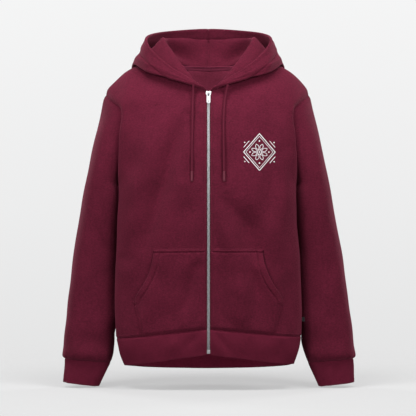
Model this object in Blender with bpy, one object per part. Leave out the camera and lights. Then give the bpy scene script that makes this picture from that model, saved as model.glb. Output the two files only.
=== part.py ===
"""Zip up hoodie, hollow and filled out as worn.  Metres, +Z up.

Origin: centre of the neck base, at the height of the back neck seam.
+X is the wearer's left, the front faces -Y.  Every cloth piece is a thin
wall on its own grid of section points; the grids come from the short
tables below, and pieces stand about 0.3 mm apart at their seams.
"""
import math

import bmesh
import bpy
import numpy as np

for old in list(bpy.data.objects):
    bpy.data.objects.remove(old, do_unlink=True)

# ------------------------------------------------------------- named sizes
WALL = 0.0020          # brushed fleece, one ply
HOOD_WALL = 0.0030     # hood, two plies
RIB_WALL = 0.0026      # rib of cuffs and hem band
GAP = 0.0002           # each piece stops this far short of a seam line
ZIP_EDGE = 0.0048      # half the space between the two front edges
ARMPIT_ROW, TOP_ROW = 9, 18     # panel rows: 0 band seam, 9 armpit, 18 shoulder seam
THROAT_ROW, NAPE_ROW = 14, 15   # rows that start at the throat and at the nape
SHIFT = 0.0028         # the filled-out form leans this much to the wearer's right
HEM_TILT = 0.0020      # hem and band seam are this much lower on the wearer's right

# ------------------------------------------------------------ short tables
# centre front edge, from band seam to throat: v, y, z
CENTRE_FRONT = [
    (0.00, -0.1270, -0.5966),
    (0.20, -0.1280, -0.4930),
    (0.42, -0.1300, -0.3760),
    (0.62, -0.1275, -0.2680),
    (0.80, -0.1215, -0.1700),
    (0.91, -0.1120, -0.1100),
    (1.00, -0.0985, -0.0625),
]
# centre back, from band seam to nape: v, y, z
CENTRE_BACK = [
    (0.00, 0.1180, -0.6400),
    (0.20, 0.1250, -0.5150),
    (0.40, 0.1310, -0.3850),
    (0.58, 0.1340, -0.2650),
    (0.72, 0.1295, -0.1750),
    (0.85, 0.1130, -0.0930),
    (0.93, 0.0900, -0.0420),
    (1.00, 0.0660, 0.0000),
]
# neck seam, half of it from throat over the neck side to nape: x, y, z
NECK = [
    (0.0048, -0.0985, -0.0625),
    (0.0300, -0.0890, -0.0500),
    (0.0560, -0.0670, -0.0290),
    (0.0780, -0.0340, -0.0030),
    (0.0880, 0.0000, 0.0180),
    (0.0790, 0.0340, 0.0130),
    (0.0500, 0.0570, 0.0050),
    (0.0000, 0.0660, 0.0000),
]
# side seam, from band seam to armpit: v, x, y, z
SIDE_SEAM = [
    (0.00, 0.2150, -0.0260, -0.6190),
    (0.16, 0.2170, -0.0230, -0.5635),
    (0.32, 0.2162, -0.0190, -0.5080),
    (0.48, 0.2135, -0.0150, -0.4530),
    (0.64, 0.2105, -0.0100, -0.3980),
    (0.80, 0.2068, -0.0050, -0.3380),
    (1.00, 0.2018, 0.0040, -0.2680),
]
# armhole seam, a row each from armpit to shoulder point:
# front x, y, z, fold (how far the body folds out past the seam), back x, y, z, fold
ARMHOLE = [
    (0.2018, 0.0040, -0.2680, 0.003, 0.2018, 0.0040, -0.2680, 0.003),
    (0.1990, -0.0200, -0.2550, 0.009, 0.1990, 0.0250, -0.2570, 0.006),
    (0.1940, -0.0400, -0.2250, 0.012, 0.1950, 0.0470, -0.2330, 0.008),
    (0.1890, -0.0540, -0.1900, 0.014, 0.1910, 0.0630, -0.2010, 0.009),
    (0.1855, -0.0600, -0.1550, 0.015, 0.1890, 0.0700, -0.1680, 0.009),
    (0.1840, -0.0600, -0.1250, 0.012, 0.1910, 0.0690, -0.1370, 0.006),
    (0.1930, -0.0550, -0.1010, 0.005, 0.1980, 0.0610, -0.1110, 0.003),
    (0.2070, -0.0430, -0.0880, 0.001, 0.2090, 0.0470, -0.0910, 0.001),
    (0.2210, -0.0240, -0.0755, 0.000, 0.2220, 0.0260, -0.0760, 0.000),
    (0.2320, 0.0000, -0.0640, 0.000, 0.2320, 0.0000, -0.0640, 0.000),
]
# roundness of the panel rows: v, front n, back n, and the share of the row's
# drop that is taken late, at the side: front, back
ROUNDNESS = [
    (0.00, 2.9, 2.5, 0.0, 0.8),
    (0.28, 2.9, 2.5, 0.0, 0.2),
    (0.45, 3.1, 2.6, 0.0, 0.0),
    (0.52, 2.9, 2.5, 0.0, 0.0),
    (0.60, 2.5, 2.35, 0.1, 0.2),
    (0.69, 2.25, 2.2, 0.2, 0.5),
    (0.78, 2.2, 2.1, 0.4, 0.8),
    (0.90, 2.0, 2.0, 0.8, 1.0),
    (1.00, 1.75, 1.75, 1.0, 1.0),
]
# columns of a panel, as shares of the row's length from centre to side
FRONT_COLS = (0.0, 0.17, 0.34, 0.50, 0.64, 0.76, 0.86, 0.935, 1.0)
BACK_COLS = (0.0, 0.16, 0.32, 0.47, 0.61, 0.74, 0.85, 0.93, 1.0)
# sleeve rings: outer x, z, inner x, z, centre y, half depth, share of own form
SLEEVE = [
    (0.2320, -0.0640, 0.2018, -0.2680, 0.004, 0.066, 0.00),
    (0.2372, -0.0790, 0.2078, -0.2765, 0.004, 0.067, 0.10),
    (0.2462, -0.1130, 0.2098, -0.2900, 0.006, 0.071, 0.42),
    (0.2582, -0.1620, 0.2108, -0.3060, 0.008, 0.075, 0.76),
    (0.2712, -0.2220, 0.2122, -0.3280, 0.010, 0.077, 0.95),
    (0.2838, -0.2890, 0.2138, -0.3600, 0.012, 0.076, 1.00),
    (0.2955, -0.3560, 0.2165, -0.4020, 0.012, 0.071, 1.00),
    (0.3060, -0.4130, 0.2185, -0.4460, 0.010, 0.066, 1.00),
    (0.3138, -0.4700, 0.2205, -0.4920, 0.006, 0.061, 1.00),
    (0.3210, -0.5300, 0.2218, -0.5400, 0.002, 0.056, 1.00),
    (0.3275, -0.5860, 0.2215, -0.5880, -0.002, 0.052, 1.00),
    (0.3325, -0.6330, 0.2220, -0.6380, -0.005, 0.049, 1.00),
    (0.3362, -0.6600, 0.2262, -0.6680, -0.006, 0.046, 1.00),
    (0.3310, -0.6690, 0.2290, -0.6775, -0.006, 0.037, 1.00),
]
# cuff rings: outer x, z, inner x, z, centre y, half depth
CUFF = [
    (0.3302, -0.6695, 0.2288, -0.6780, -0.006, 0.0360),
    (0.3308, -0.6950, 0.2400, -0.7040, -0.006, 0.0340),
    (0.3330, -0.7225, 0.2525, -0.7320, -0.006, 0.0300),
]
# hem edge of the band: at centre front, at the side, at centre back: x, y, z
HEM = {"front": (0.0048, -0.1180, -0.6537), "side": (0.1965, -0.0200, -0.6800),
       "back": (0.0, 0.1120, -0.7000)}
# hood folds, a row for each point of NECK: ridge x, y, z, bag x, y, z, edge x, y, z
HOOD = [
    (0.0062, -0.1005, -0.0575, 0.0085, -0.1030, -0.0550, 0.0105, -0.1055, -0.0520),
    (0.0304, -0.0965, -0.0390, 0.0445, -0.1060, -0.0430, 0.0445, -0.1035, -0.0340),
    (0.0578, -0.0715, -0.0045, 0.0937, -0.0880, -0.0285, 0.0947, -0.0810, -0.0010),
    (0.0856, -0.0380, 0.0331, 0.1397, -0.0590, -0.0140, 0.1325, -0.0480, 0.0364),
    (0.1046, -0.0040, 0.0695, 0.1735, 0.0080, 0.0065, 0.1454, -0.0100, 0.0631),
    (0.0975, 0.0360, 0.0680, 0.1650, 0.0820, -0.0450, 0.1291, 0.0500, 0.0780),
    (0.0617, 0.0640, 0.0635, 0.1000, 0.1300, -0.1080, 0.0858, 0.0980, 0.0910),
    (0.0000, 0.0780, 0.0611, 0.0000, 0.1480, -0.1350, 0.0000, 0.1200, 0.0985),
]
# how far the bag's two walls bow: inner sag z, inner out, outer out
BAG_BOW = [(-0.001, 0.000, 0.001), (-0.003, 0.001, 0.002), (-0.005, 0.002, 0.004),
           (-0.006, 0.003, 0.007), (-0.006, 0.003, 0.010), (-0.004, 0.004, 0.014),
           (-0.002, 0.003, 0.018), (0.000, 0.002, 0.020)]
# pocket outline: z, x of the outer edge, how far it stands off there
POCKET = [
    (-0.6150, 0.1480, 0.0020),
    (-0.5700, 0.1575, 0.0020),
    (-0.5330, 0.1665, 0.0018),
    (-0.4980, 0.1485, 0.0050),
    (-0.4600, 0.1335, 0.0055),
    (-0.4220, 0.1215, 0.0015),
]
POCKET_TOP_DROP = 0.0045    # the top edge is this much lower at its outer end
# drawcord route below the hood: x right cord, x left cord (wearer's), z, stand-off from the front
CORD_D = 0.0055
CORD = [
    (-0.0338, 0.0428, -0.0470, 0.0125),
    (-0.0342, 0.0400, -0.0620, 0.0085),
    (-0.0346, 0.0368, -0.0800, 0.0055),
    (-0.0352, 0.0345, -0.1050, 0.0046),
    (-0.0358, 0.0335, -0.1350, 0.0044),
    (-0.0364, 0.0337, -0.1700, 0.0044),
    (-0.0369, 0.0342, -0.2050, 0.0044),
    (-0.0372, 0.0347, -0.2420, 0.0044),
]
TIP_LENGTH = 0.0230
# zip hardware
CHAIN_HALF, CHAIN_FRONT, CHAIN_BACK = 0.0030, 0.0008, 0.0018
SLIDER_TOP_Z, SLIDER_L, SLIDER_W = -0.0600, 0.0140, 0.0118
PULL_L, PULL_W, PULL_T = 0.0245, 0.0086, 0.0016


# --------------------------------------------------------------- functions
def smooth(table, t):
    """Smooth curve through a table whose first column is the parameter."""
    a = np.asarray(table, float)
    p, q = a[:, 0], a[:, 1:]
    m = np.zeros_like(q)
    m[1:-1] = (q[2:] - q[:-2]) / (p[2:] - p[:-2])[:, None]
    m[0] = (q[1] - q[0]) / (p[1] - p[0])
    m[-1] = (q[-1] - q[-2]) / (p[-1] - p[-2])
    t = np.atleast_1d(np.asarray(t, float))
    k = np.clip(np.searchsorted(p, t, side="right") - 1, 0, len(p) - 2)
    h = (p[k + 1] - p[k])[:, None]
    s = ((t - p[k])[:, None]) / h
    return ((2 * s**3 - 3 * s**2 + 1) * q[k] + (s**3 - 2 * s**2 + s) * h * m[k]
            + (3 * s**2 - 2 * s**3) * q[k + 1] + (s**3 - s**2) * h * m[k + 1])


def numbered(rows):
    """Add the row number as the first column."""
    return [(float(i),) + tuple(r) for i, r in enumerate(rows)]


def unit(v):
    n = np.linalg.norm(v, axis=-1, keepdims=True)
    return v / np.maximum(n, 1e-12)


def panel_row(left, right, n, late, fold, cols):
    """A quarter of a rounded section from the centre line to the side."""
    th = np.linspace(0.0, math.pi / 2, 181)
    s, c = np.sin(th) ** (2.0 / n), np.maximum(np.cos(th), 0.0) ** (2.0 / n)
    q = th / (math.pi / 2)
    pts = np.empty((len(th), 3))
    pts[:, 0] = left[0] + (right[0] - left[0]) * s + fold * 12.2 * q**4 * (1 - q)
    pts[:, 1] = left[1] + (right[1] - left[1]) * (1 - c)
    pts[:, 2] = left[2] + (right[2] - left[2]) * ((1 - late) * s + late * (1 - c))
    d = np.concatenate([[0.0], np.cumsum(np.linalg.norm(np.diff(pts, axis=0), axis=1))])
    want = np.asarray(cols) * d[-1]
    return np.stack([np.interp(want, d, pts[:, k]) for k in range(3)], axis=1)


def panel(kind, side):
    """Grid of a half panel: rows from band seam to shoulder seam, columns out to the side."""
    front = kind == "front"
    turn = THROAT_ROW if front else NAPE_ROW
    cols = FRONT_COLS if front else BACK_COLS
    rows = []
    for i in range(TOP_ROW + 1):
        v = i / TOP_ROW
        if i <= turn:
            y, z = smooth(CENTRE_FRONT if front else CENTRE_BACK, i / turn)[0]
            left = np.array([ZIP_EDGE if front else 0.0, y, z])
        else:
            left = np.array(NECK[i - THROAT_ROW] if front else NECK[7 - (i - NAPE_ROW)])
        if i <= ARMPIT_ROW:
            right = smooth(SIDE_SEAM, i / ARMPIT_ROW)[0]
            right[2] += side * HEM_TILT * (1 - i / ARMPIT_ROW)
            fold = ARMHOLE[0][3 if front else 7] * (i / ARMPIT_ROW) ** 4
        else:
            a = ARMHOLE[i - ARMPIT_ROW]
            right, fold = (np.array(a[0:3]), a[3]) if front else (np.array(a[4:7]), a[7])
        nf, nb, lf, lb = smooth(ROUNDNESS, v)[0]
        rows.append(panel_row(left, right, nf if front else nb, lf if front else lb, fold, cols))
    return np.array(rows)


def lean(p):
    """The filled-out form leans slightly to the wearer's right at the arms."""
    p = np.array(p, float)
    w = np.clip((np.abs(p[..., 0]) - 0.12) / 0.10, 0, 1)
    w = w * w * (3 - 2 * w)
    z = p[..., 2]
    k = np.interp(-z, [-0.10, -0.02, 0.05, 0.35, 0.50, 0.60, 0.68], [0, 0.4, 1.0, 1.0, 0.25, -0.1, -0.5])
    p[..., 0] -= SHIFT * k * w
    return p


def mirror(grid, side):
    g = np.array(grid, float)
    g[..., 0] *= side
    return g


def normals(g, closed):
    """Normals of a grid from its two central differences."""
    if closed:
        dj = np.roll(g, -1, axis=1) - np.roll(g, 1, axis=1)
    else:
        dj = np.gradient(g, axis=1)
    return unit(np.cross(dj, np.gradient(g, axis=0)))


def pulled(g, closed, gap):
    """The grid with its open edges pulled in by gap."""
    g = g.copy()
    g[0] += unit(g[1] - g[0]) * gap
    g[-1] += unit(g[-2] - g[-1]) * gap
    if not closed:
        g[:, 0] += unit(g[:, 1] - g[:, 0]) * gap
        g[:, -1] += unit(g[:, -2] - g[:, -1]) * gap
    return g


def make_object(name, verts, faces, colour, rough=0.9, metal=0.0):
    mesh = bpy.data.meshes.new(name)
    mesh.from_pydata([tuple(float(c) for c in v) for v in verts], [], faces)
    bm = bmesh.new()
    bm.from_mesh(mesh)
    bmesh.ops.recalc_face_normals(bm, faces=bm.faces)
    if bm.calc_volume(signed=True) < 0:
        bmesh.ops.reverse_faces(bm, faces=bm.faces)
    bmesh.ops.triangulate(bm, faces=bm.faces)
    bm.to_mesh(mesh)
    bm.free()
    obj = bpy.data.objects.new(name, mesh)
    bpy.context.scene.collection.objects.link(obj)
    mat = bpy.data.materials.new(name + "_cloth" if metal == 0 else name + "_metal")
    mat.use_nodes = True
    shader = mat.node_tree.nodes["Principled BSDF"]
    shader.inputs["Base Color"].default_value = (*colour, 1.0)
    shader.inputs["Roughness"].default_value = rough
    shader.inputs["Metallic"].default_value = metal
    mesh.materials.append(mat)
    return obj


def shell(name, grid, wall, colour, closed=False, gap=GAP, outward=None, lift=0.0, ridge=0):
    """Closed wall on a grid: the grid is the outer face, the inner face lies a wall behind.
    ridge is -1 or 1 where the last row lies on the shoulder ridge, in the plane y = 0."""
    n = normals(grid, closed)
    mid = grid.reshape(-1, 3).mean(axis=0) if outward is None else np.asarray(outward, float)
    if np.sum(n * (grid - mid)) < 0:
        n = -n
    outer = pulled(grid + n * lift, closed, gap)
    inner = pulled(grid + n * (lift - wall), closed, gap + 0.3 * wall)
    if ridge:
        for p in (outer, inner):
            p[-1, :, 1] = ridge * np.maximum(ridge * p[-1, :, 1], GAP)
    ni, nj = grid.shape[:2]
    verts = list(outer.reshape(-1, 3)) + list(inner.reshape(-1, 3))
    off = ni * nj
    faces = []
    nc = nj if closed else nj - 1
    for i in range(ni - 1):
        for j in range(nc):
            a, b = i * nj + j, i * nj + (j + 1) % nj
            c, d = b + nj, a + nj
            faces.append((a, b, c, d))
            faces.append((d + off, c + off, b + off, a + off))
    for j in range(nc):
        a, b = j, (j + 1) % nj
        faces.append((b, a, a + off, b + off))
        a, b = (ni - 1) * nj + j, (ni - 1) * nj + (j + 1) % nj
        faces.append((a, b, b + off, a + off))
    if not closed:
        for i in range(ni - 1):
            a, b = i * nj, (i + 1) * nj
            faces.append((a, b, b + off, a + off))
            a, b = i * nj + nj - 1, (i + 1) * nj + nj - 1
            faces.append((b, a, a + off, b + off))
    return make_object(name, verts, faces, colour)


MAROON = (0.105, 0.012, 0.022)
RIB = (0.095, 0.011, 0.020)
STEEL = (0.62, 0.62, 0.63)
BODY_AXIS = (0.0, 0.0, -0.33)
SIDES = (("left", 1), ("right", -1))

# ------------------------------------------------------------------ panels
grids = {}
for word, side in SIDES:
    g = lean(mirror(panel("front", side), side))
    grids["front_" + word] = g
    shell("front_" + word, g, WALL, MAROON, outward=BODY_AXIS, ridge=-1)

half_l, half_r = lean(panel("back", 1)), lean(mirror(panel("back", -1), -1))
grids["back_left"], grids["back_right"] = half_l, half_r


def back_normals(g):
    """Outward normals of a half back; on the centre column they have no x part."""
    n = normals(g, False)
    if np.sum(n * (g - np.array(BODY_AXIS))) < 0:
        n = -n
    rise = g[NAPE_ROW, 0] - g[NAPE_ROW - 1, 0]
    n[NAPE_ROW, 0] = (0.0, rise[2], -rise[1])
    n[:NAPE_ROW + 1, 0, 0] = 0.0
    return unit(n)


def joined_back():
    """One wall from both halves; below the nape they share the centre column."""
    nb = len(BACK_COLS)
    parts = []
    for g in (half_l, half_r):
        n = back_normals(g)
        faces2 = []
        for lift, gap in ((0.0, GAP), (-WALL, GAP + 0.3 * WALL)):
            p = g + n * lift
            p[0] += unit(p[1] - p[0]) * gap
            p[-1] += unit(p[-2] - p[-1]) * gap
            p[:, -1] += unit(p[:, -2] - p[:, -1]) * gap
            p[NAPE_ROW:, 0] += unit(p[NAPE_ROW:, 1] - p[NAPE_ROW:, 0]) * gap * 0.5
            p[NAPE_ROW:, 0] += unit(p[NAPE_ROW - 1:-1, 0] - p[NAPE_ROW:, 0]) * gap
            p[:NAPE_ROW + 1, 0, 0] = 0.0
            p[-1, :, 1] = np.maximum(p[-1, :, 1], GAP)
            faces2.append(p)
        parts.append(faces2)
    verts, index = [], {}

    def vid(h, layer, i, j):
        key = (0, layer, i, 0) if (j == 0 and i <= NAPE_ROW) else (h, layer, i, j)
        if key not in index:
            index[key] = len(verts)
            verts.append(parts[h][layer][i, j])
        return index[key]

    faces = []
    for h in (0, 1):
        def quad(*keys):
            q = tuple(vid(h, *k) for k in keys)
            faces.append(q if h == 0 else q[::-1])
        for i in range(TOP_ROW):
            for j in range(nb - 1):
                quad((0, i, j), (0, i, j + 1), (0, i + 1, j + 1), (0, i + 1, j))
                quad((1, i + 1, j), (1, i + 1, j + 1), (1, i, j + 1), (1, i, j))
            quad((0, i + 1, nb - 1), (0, i, nb - 1), (1, i, nb - 1), (1, i + 1, nb - 1))
            if i >= NAPE_ROW:
                quad((0, i, 0), (0, i + 1, 0), (1, i + 1, 0), (1, i, 0))
        for j in range(nb - 1):
            quad((0, 0, j + 1), (0, 0, j), (1, 0, j), (1, 0, j + 1))
            quad((0, TOP_ROW, j), (0, TOP_ROW, j + 1), (1, TOP_ROW, j + 1), (1, TOP_ROW, j))
    return make_object("back", verts, faces, MAROON)


joined_back()

# ----------------------------------------------------------------- sleeves
RING = 18


def ring_points(outer, inner, yc, half_y, n=2.3):
    """A rounded section between an outer and an inner point, front half first."""
    outer, inner = np.array([outer[0], yc, outer[1]]), np.array([inner[0], yc, inner[1]])
    mid, e = (outer + inner) / 2, (outer - inner) / 2
    pts = []
    for k in range(RING):
        a = 2 * math.pi * k / RING
        c, s = math.cos(a), math.sin(a)
        c = math.copysign(abs(c) ** (2 / n), c)
        s = math.copysign(abs(s) ** (2 / n), s)
        pts.append(mid + e * c + np.array([0, -half_y * s, 0]))
    return np.array(pts)


def armhole_loop():
    front = [a[0:3] for a in ARMHOLE][::-1]
    back = [a[4:7] for a in ARMHOLE]
    return np.array(front + back[1:-1], float)


def sleeve():
    loop = armhole_loop()
    mid0 = np.array([(SLEEVE[0][0] + SLEEVE[0][2]) / 2, SLEEVE[0][4], (SLEEVE[0][1] + SLEEVE[0][3]) / 2])
    rings = []
    for ox, oz, ix, iz, yc, hy, own in SLEEVE:
        mid = np.array([(ox + ix) / 2, yc, (oz + iz) / 2])
        rings.append((1 - own) * (loop + mid - mid0) + own * ring_points((ox, oz), (ix, iz), yc, hy))
    rings = np.array(rings)
    # the seam side of the first ring stands clear of the panels' edge, most near the armpit
    low = np.clip((-0.10 - rings[0, :, 2]) / 0.12, 0, 1)
    rings[0, :, 0] += 0.0003 + 0.0012 * low
    return rings


def cuff():
    return np.array([ring_points((ox, oz), (ix, iz), yc, hy) for ox, oz, ix, iz, yc, hy in CUFF])


for word, side in SIDES:
    g = lean(mirror(sleeve(), side))
    grids["sleeve_" + word] = g
    for nm, gg, wall, col in (("sleeve_", g, WALL, MAROON),
                              ("cuff_", lean(mirror(cuff(), side)), RIB_WALL, RIB)):
        n = normals(gg, True)
        if np.sum(n * (gg - gg.mean(axis=1, keepdims=True))) < 0:
            n = -n
        outer = pulled(gg, True, GAP)
        inner = pulled(gg - n * wall, True, GAP + 0.3 * wall)
        ni, nj = gg.shape[:2]
        off = ni * nj
        verts = list(outer.reshape(-1, 3)) + list(inner.reshape(-1, 3))
        faces = []
        for j in range(nj):
            k = (j + 1) % nj
            for i in range(ni - 1):
                faces.append((i * nj + j, i * nj + k, (i + 1) * nj + k, (i + 1) * nj + j))
                faces.append(tuple(off + q for q in
                                   ((i + 1) * nj + j, (i + 1) * nj + k, i * nj + k, i * nj + j)))
            faces.append((k, j, off + j, off + k))
            e = (ni - 1) * nj
            faces.append((e + j, e + k, off + e + k, off + e + j))
        make_object(nm + word, verts, faces, col)

# ---------------------------------------------------------------- hem band
def hem_grid():
    """Band from the wearer's left zip edge round the back to the right zip edge."""
    halves = []
    for word, side in SIDES:
        f, b = grids["front_" + word][0], grids["back_" + word][0]
        top = np.concatenate([f, b[::-1][1:]])
        sx, sy, sz = HEM["side"]
        right = (sx, sy, sz + side * HEM_TILT * 0.7)
        fb = panel_row(np.array(HEM["front"]), right, 2.9, 0.0, 0.0, FRONT_COLS)
        bb = panel_row(np.array(HEM["back"]), right, 2.5, 0.9, 0.0, BACK_COLS)
        bottom = lean(mirror(np.concatenate([fb, bb[::-1][1:]]), side))
        halves.append((top, bottom))
    top = np.concatenate([halves[0][0], halves[1][0][::-1][1:]])
    bottom = np.concatenate([halves[0][1], halves[1][1][::-1][1:]])
    out = unit(np.stack([top[:, 0], top[:, 1] * 1.5, np.zeros(len(top))], axis=1))
    mid = top * 0.5 + bottom * 0.5 + out * 0.003
    top = top - out * 0.0004
    return np.array([top, mid, bottom])


shell("hem_band", hem_grid(), RIB_WALL, RIB, outward=(0, 0, -0.66))

# -------------------------------------------------------------------- hood
STATIONS = (0.0, 0.5, 1.0, 1.5, 2.0, 2.5, 3.0, 3.5, 4.0, 4.4, 4.8, 5.3, 5.8, 6.4, 7.0)
PROFILE = (0.0, 0.07, 0.14, 0.205, 0.25, 0.30, 0.39, 0.49, 0.56, 0.60, 0.65, 0.76, 0.88, 1.0)


def hood_station(k):
    """Control points of the hood's section at a station: neck, ridge, bag, edge."""
    neck = np.array(NECK[k]) + np.array([0.0, 0.0, 0.0042 if k else 0.0025])
    r, b, e = (np.array(HOOD[k][i:i + 3]) for i in (0, 3, 6))
    sag, inn, out = BAG_BOW[k]
    flat = np.array([b[0], b[1] + 0.02, 0.0])
    flat = flat / np.linalg.norm(flat)
    up = (neck + r) / 2 + flat * (0.003 if k else 0.0)
    slope = (r + b) / 2 + flat * inn + np.array([0, 0, sag])
    wall = (b + e) / 2 + flat * out
    return [(0.0, *neck), (0.12, *up), (0.25, *r), (0.42, *slope), (0.60, *b), (0.80, *wall), (1.0, *e)]


def hood():
    lines = [smooth(hood_station(k), PROFILE) for k in range(8)]
    ghost = lines[6] * np.array([-1.0, 1.0, 1.0])
    lines.append(ghost)
    lines = np.array(lines)
    out = np.empty((len(STATIONS), len(PROFILE), 3))
    for j in range(len(PROFILE)):
        table = [(float(i), *lines[i, j]) for i in range(9)]
        out[:, j] = smooth(table, STATIONS)
    out[-1, :, 0] = 0.0
    return out


for word, side in SIDES:
    g = hood()
    g = lean(mirror(g, side))
    n = normals(g, False)
    if side < 0:
        n = -n
    n[-1, :, 0] = 0.0
    n = unit(n)
    half = np.full((len(STATIONS), 1, 1), HOOD_WALL / 2)
    half[0], half[1] = 0.0006, 0.0010
    ni, nj = g.shape[:2]
    a, b = g + n * half, g - n * half
    a[-1, :, 0] = b[-1, :, 0] = side * GAP * 0.8
    verts = list(a.reshape(-1, 3)) + list(b.reshape(-1, 3))
    off = ni * nj
    faces = []
    for i in range(ni - 1):
        for j in range(nj - 1):
            p, q = i * nj + j, i * nj + j + 1
            faces.append((p, q, q + nj, p + nj))
            faces.append((p + nj + off, q + nj + off, q + off, p + off))
        p, q = i * nj, (i + 1) * nj
        faces.append((p, q, q + off, p + off))
        p, q = i * nj + nj - 1, (i + 1) * nj + nj - 1
        faces.append((q, p, p + off, q + off))
    for j in range(nj - 1):
        faces.append((j + 1, j, j + off, j + 1 + off))
        p, q = (ni - 1) * nj + j, (ni - 1) * nj + j + 1
        faces.append((p, q, q + off, p + off))
    make_object("hood_" + word, verts, faces, MAROON)

# ------------------------------------------------------ points on the front
def on_front(x, z, word):
    """Point and normal of a front panel at (x, z), read off the panel's own grid."""
    g = grids["front_" + word]
    side = 1 if word == "left" else -1
    lo, hi = 0.0, float(THROAT_ROW)
    rowz = []
    for i in range(THROAT_ROW + 1):
        xs = g[i, :, 0] * side
        order = np.argsort(xs)
        rowz.append((np.interp(x * side, xs[order], g[i, order, 1]),
                     np.interp(x * side, xs[order], g[i, order, 2])))
    rowz = np.array(rowz)
    order = np.argsort(rowz[:, 1])
    return np.interp(z, rowz[order, 1], rowz[order, 0])


def front_frame(x, z, word, d=0.006):
    side = 1 if word == "left" else -1
    x0 = max(abs(x), ZIP_EDGE) * side
    p = np.array([x, on_front(x0, z, word), z])
    px = np.array([x0 + side * d, on_front(x0 + side * d, z, word), z]) - np.array([x0, p[1], z])
    pz = np.array([x0, on_front(x0, z + d, word), z + d]) - np.array([x0, on_front(x0, z - d, word), z - d])
    n = unit(np.cross(px * side, pz))
    return p, (n if n[1] < 0 else -n)


# ----------------------------------------------------------------- pockets
for word, side in SIDES:
    zs = np.linspace(POCKET[0][0], POCKET[-1][0], 10)
    rows, lifts = [], []
    for z in zs:
        xo, stand = smooth(POCKET, z)[0]
        xi = 0.0078
        row, lf = [], []
        for u in (0.0, 0.2, 0.4, 0.6, 0.8, 1.0):
            x = xi + (xo - xi) * u
            top = (z - POCKET[0][0]) / (POCKET[-1][0] - POCKET[0][0])
            bottom = -0.5945 - 0.0225 * (x / 0.215) + 0.0015 + side * HEM_TILT * (x / 0.215)
            top_z = POCKET[-1][0] + POCKET_TOP_DROP * (1 - u) - side * 0.0
            zz = bottom + (top_z - bottom) * top
            p, n = front_frame(x * side, zz, word)
            row.append(p + n * (0.0010 + (stand - 0.0010) * u**3))
            lf.append(n)
        rows.append(row)
        lifts.append(lf)
    g = np.array(rows)
    shell("pocket_" + word, g, WALL, MAROON, outward=BODY_AXIS, gap=0.0001, lift=WALL)

# --------------------------------------------------------------------- zip
def zip_y(z):
    """Depth of the front edges along the zip, down through the hem band."""
    line = [(-r[2], r[1]) for r in CENTRE_FRONT[::-1]] + [(0.6252, -0.1255), (-HEM["front"][2], HEM["front"][1])]
    return np.interp(-z, [a for a, _ in line], [b for _, b in line])


def strip(name, x0, x1, front, back, z0, z1, steps, colour, rough=0.8, metal=0.0):
    verts, faces = [], []
    for k in range(steps + 1):
        z = z0 + (z1 - z0) * k / steps
        y = zip_y(z)
        verts += [(x0, y - front, z), (x1, y - front, z), (x1, y + back, z), (x0, y + back, z)]
    for k in range(steps):
        a = 4 * k
        for j in range(4):
            q = (j + 1) % 4
            faces.append((a + j, a + q, a + 4 + q, a + 4 + j))
    faces += [(3, 2, 1, 0), tuple(4 * steps + j for j in range(4))]
    return make_object(name, verts, faces, colour, rough, metal)


for word, side in SIDES:
    strip("zip_tape_" + word, side * 0.0005, side * 0.0145, -0.0036, 0.0044, -0.6500, -0.0640, 20, (0.08, 0.01, 0.018))
strip("zip_chain", -CHAIN_HALF, CHAIN_HALF, CHAIN_FRONT, CHAIN_BACK, -0.6425, SLIDER_TOP_Z - SLIDER_L - 0.0030, 20,
      STEEL, 0.35, 1.0)
strip("zip_box", -0.0036, 0.0036, 0.0014, 0.0020, -0.6515, -0.6430, 1, STEEL, 0.35, 1.0)

# slider and pull tab, in a frame that follows the slope of the front edges
slope = math.atan2(zip_y(-0.062) - zip_y(-0.092), 0.030)
PIVOT_Z = SLIDER_TOP_Z - 0.0050
PIVOT_OUT = 0.0056         # pivot this far in front of the front edges' face
pivot = (0.0, zip_y(PIVOT_Z) - PIVOT_OUT * math.cos(slope), PIVOT_Z + PIVOT_OUT * math.sin(slope) * 0.0)


def tilted(obj):
    obj.location = pivot
    obj.rotation_euler = (-slope, 0.0, 0.0)
    return obj


def prism(profile, depth0, depth1, axis):
    """Closed prism of a profile, along x (axis 0) or y (axis 1)."""
    verts, faces = [], []
    n = len(profile)
    for d in (depth0, depth1):
        for a, b in profile:
            verts.append((d, a, b) if axis == 0 else (a, d, b))
    faces = [tuple(range(n))[::-1], tuple(range(n, 2 * n))]
    for k in range(n):
        q = (k + 1) % n
        faces.append((k, q, n + q, n + k))
    return verts, faces


# slider body outline in front view: shoulders at the top, narrower foot
w, top, foot = SLIDER_W / 2, 0.0050, 0.0050 - SLIDER_L
outline = [(-w * 0.62, foot), (w * 0.62, foot), (w * 0.72, foot + 0.004), (w, top - 0.006), (w, top - 0.0015),
           (w * 0.75, top), (w * 0.25, top - 0.0006), (-w * 0.25, top - 0.0006), (-w * 0.75, top),
           (-w, top - 0.0015), (-w, top - 0.006), (-w * 0.72, foot + 0.004)]
FACE = 0.0018              # slider face lies this far behind the pivot
body = make_object("zip_slider", *prism(outline, FACE, PIVOT_OUT - 0.0005, 1), STEEL, 0.3, 1.0)
# core: the narrow part that runs back between the two front edges
core = make_object("core_guide", *prism([(-0.0034, foot + 0.0008), (0.0034, foot + 0.0008), (0.0034, top - 0.0014),
                                         (-0.0034, top - 0.0014)], FACE + 0.0010, PIVOT_OUT + 0.0022, 1),
                   STEEL, 0.3, 1.0)
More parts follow.
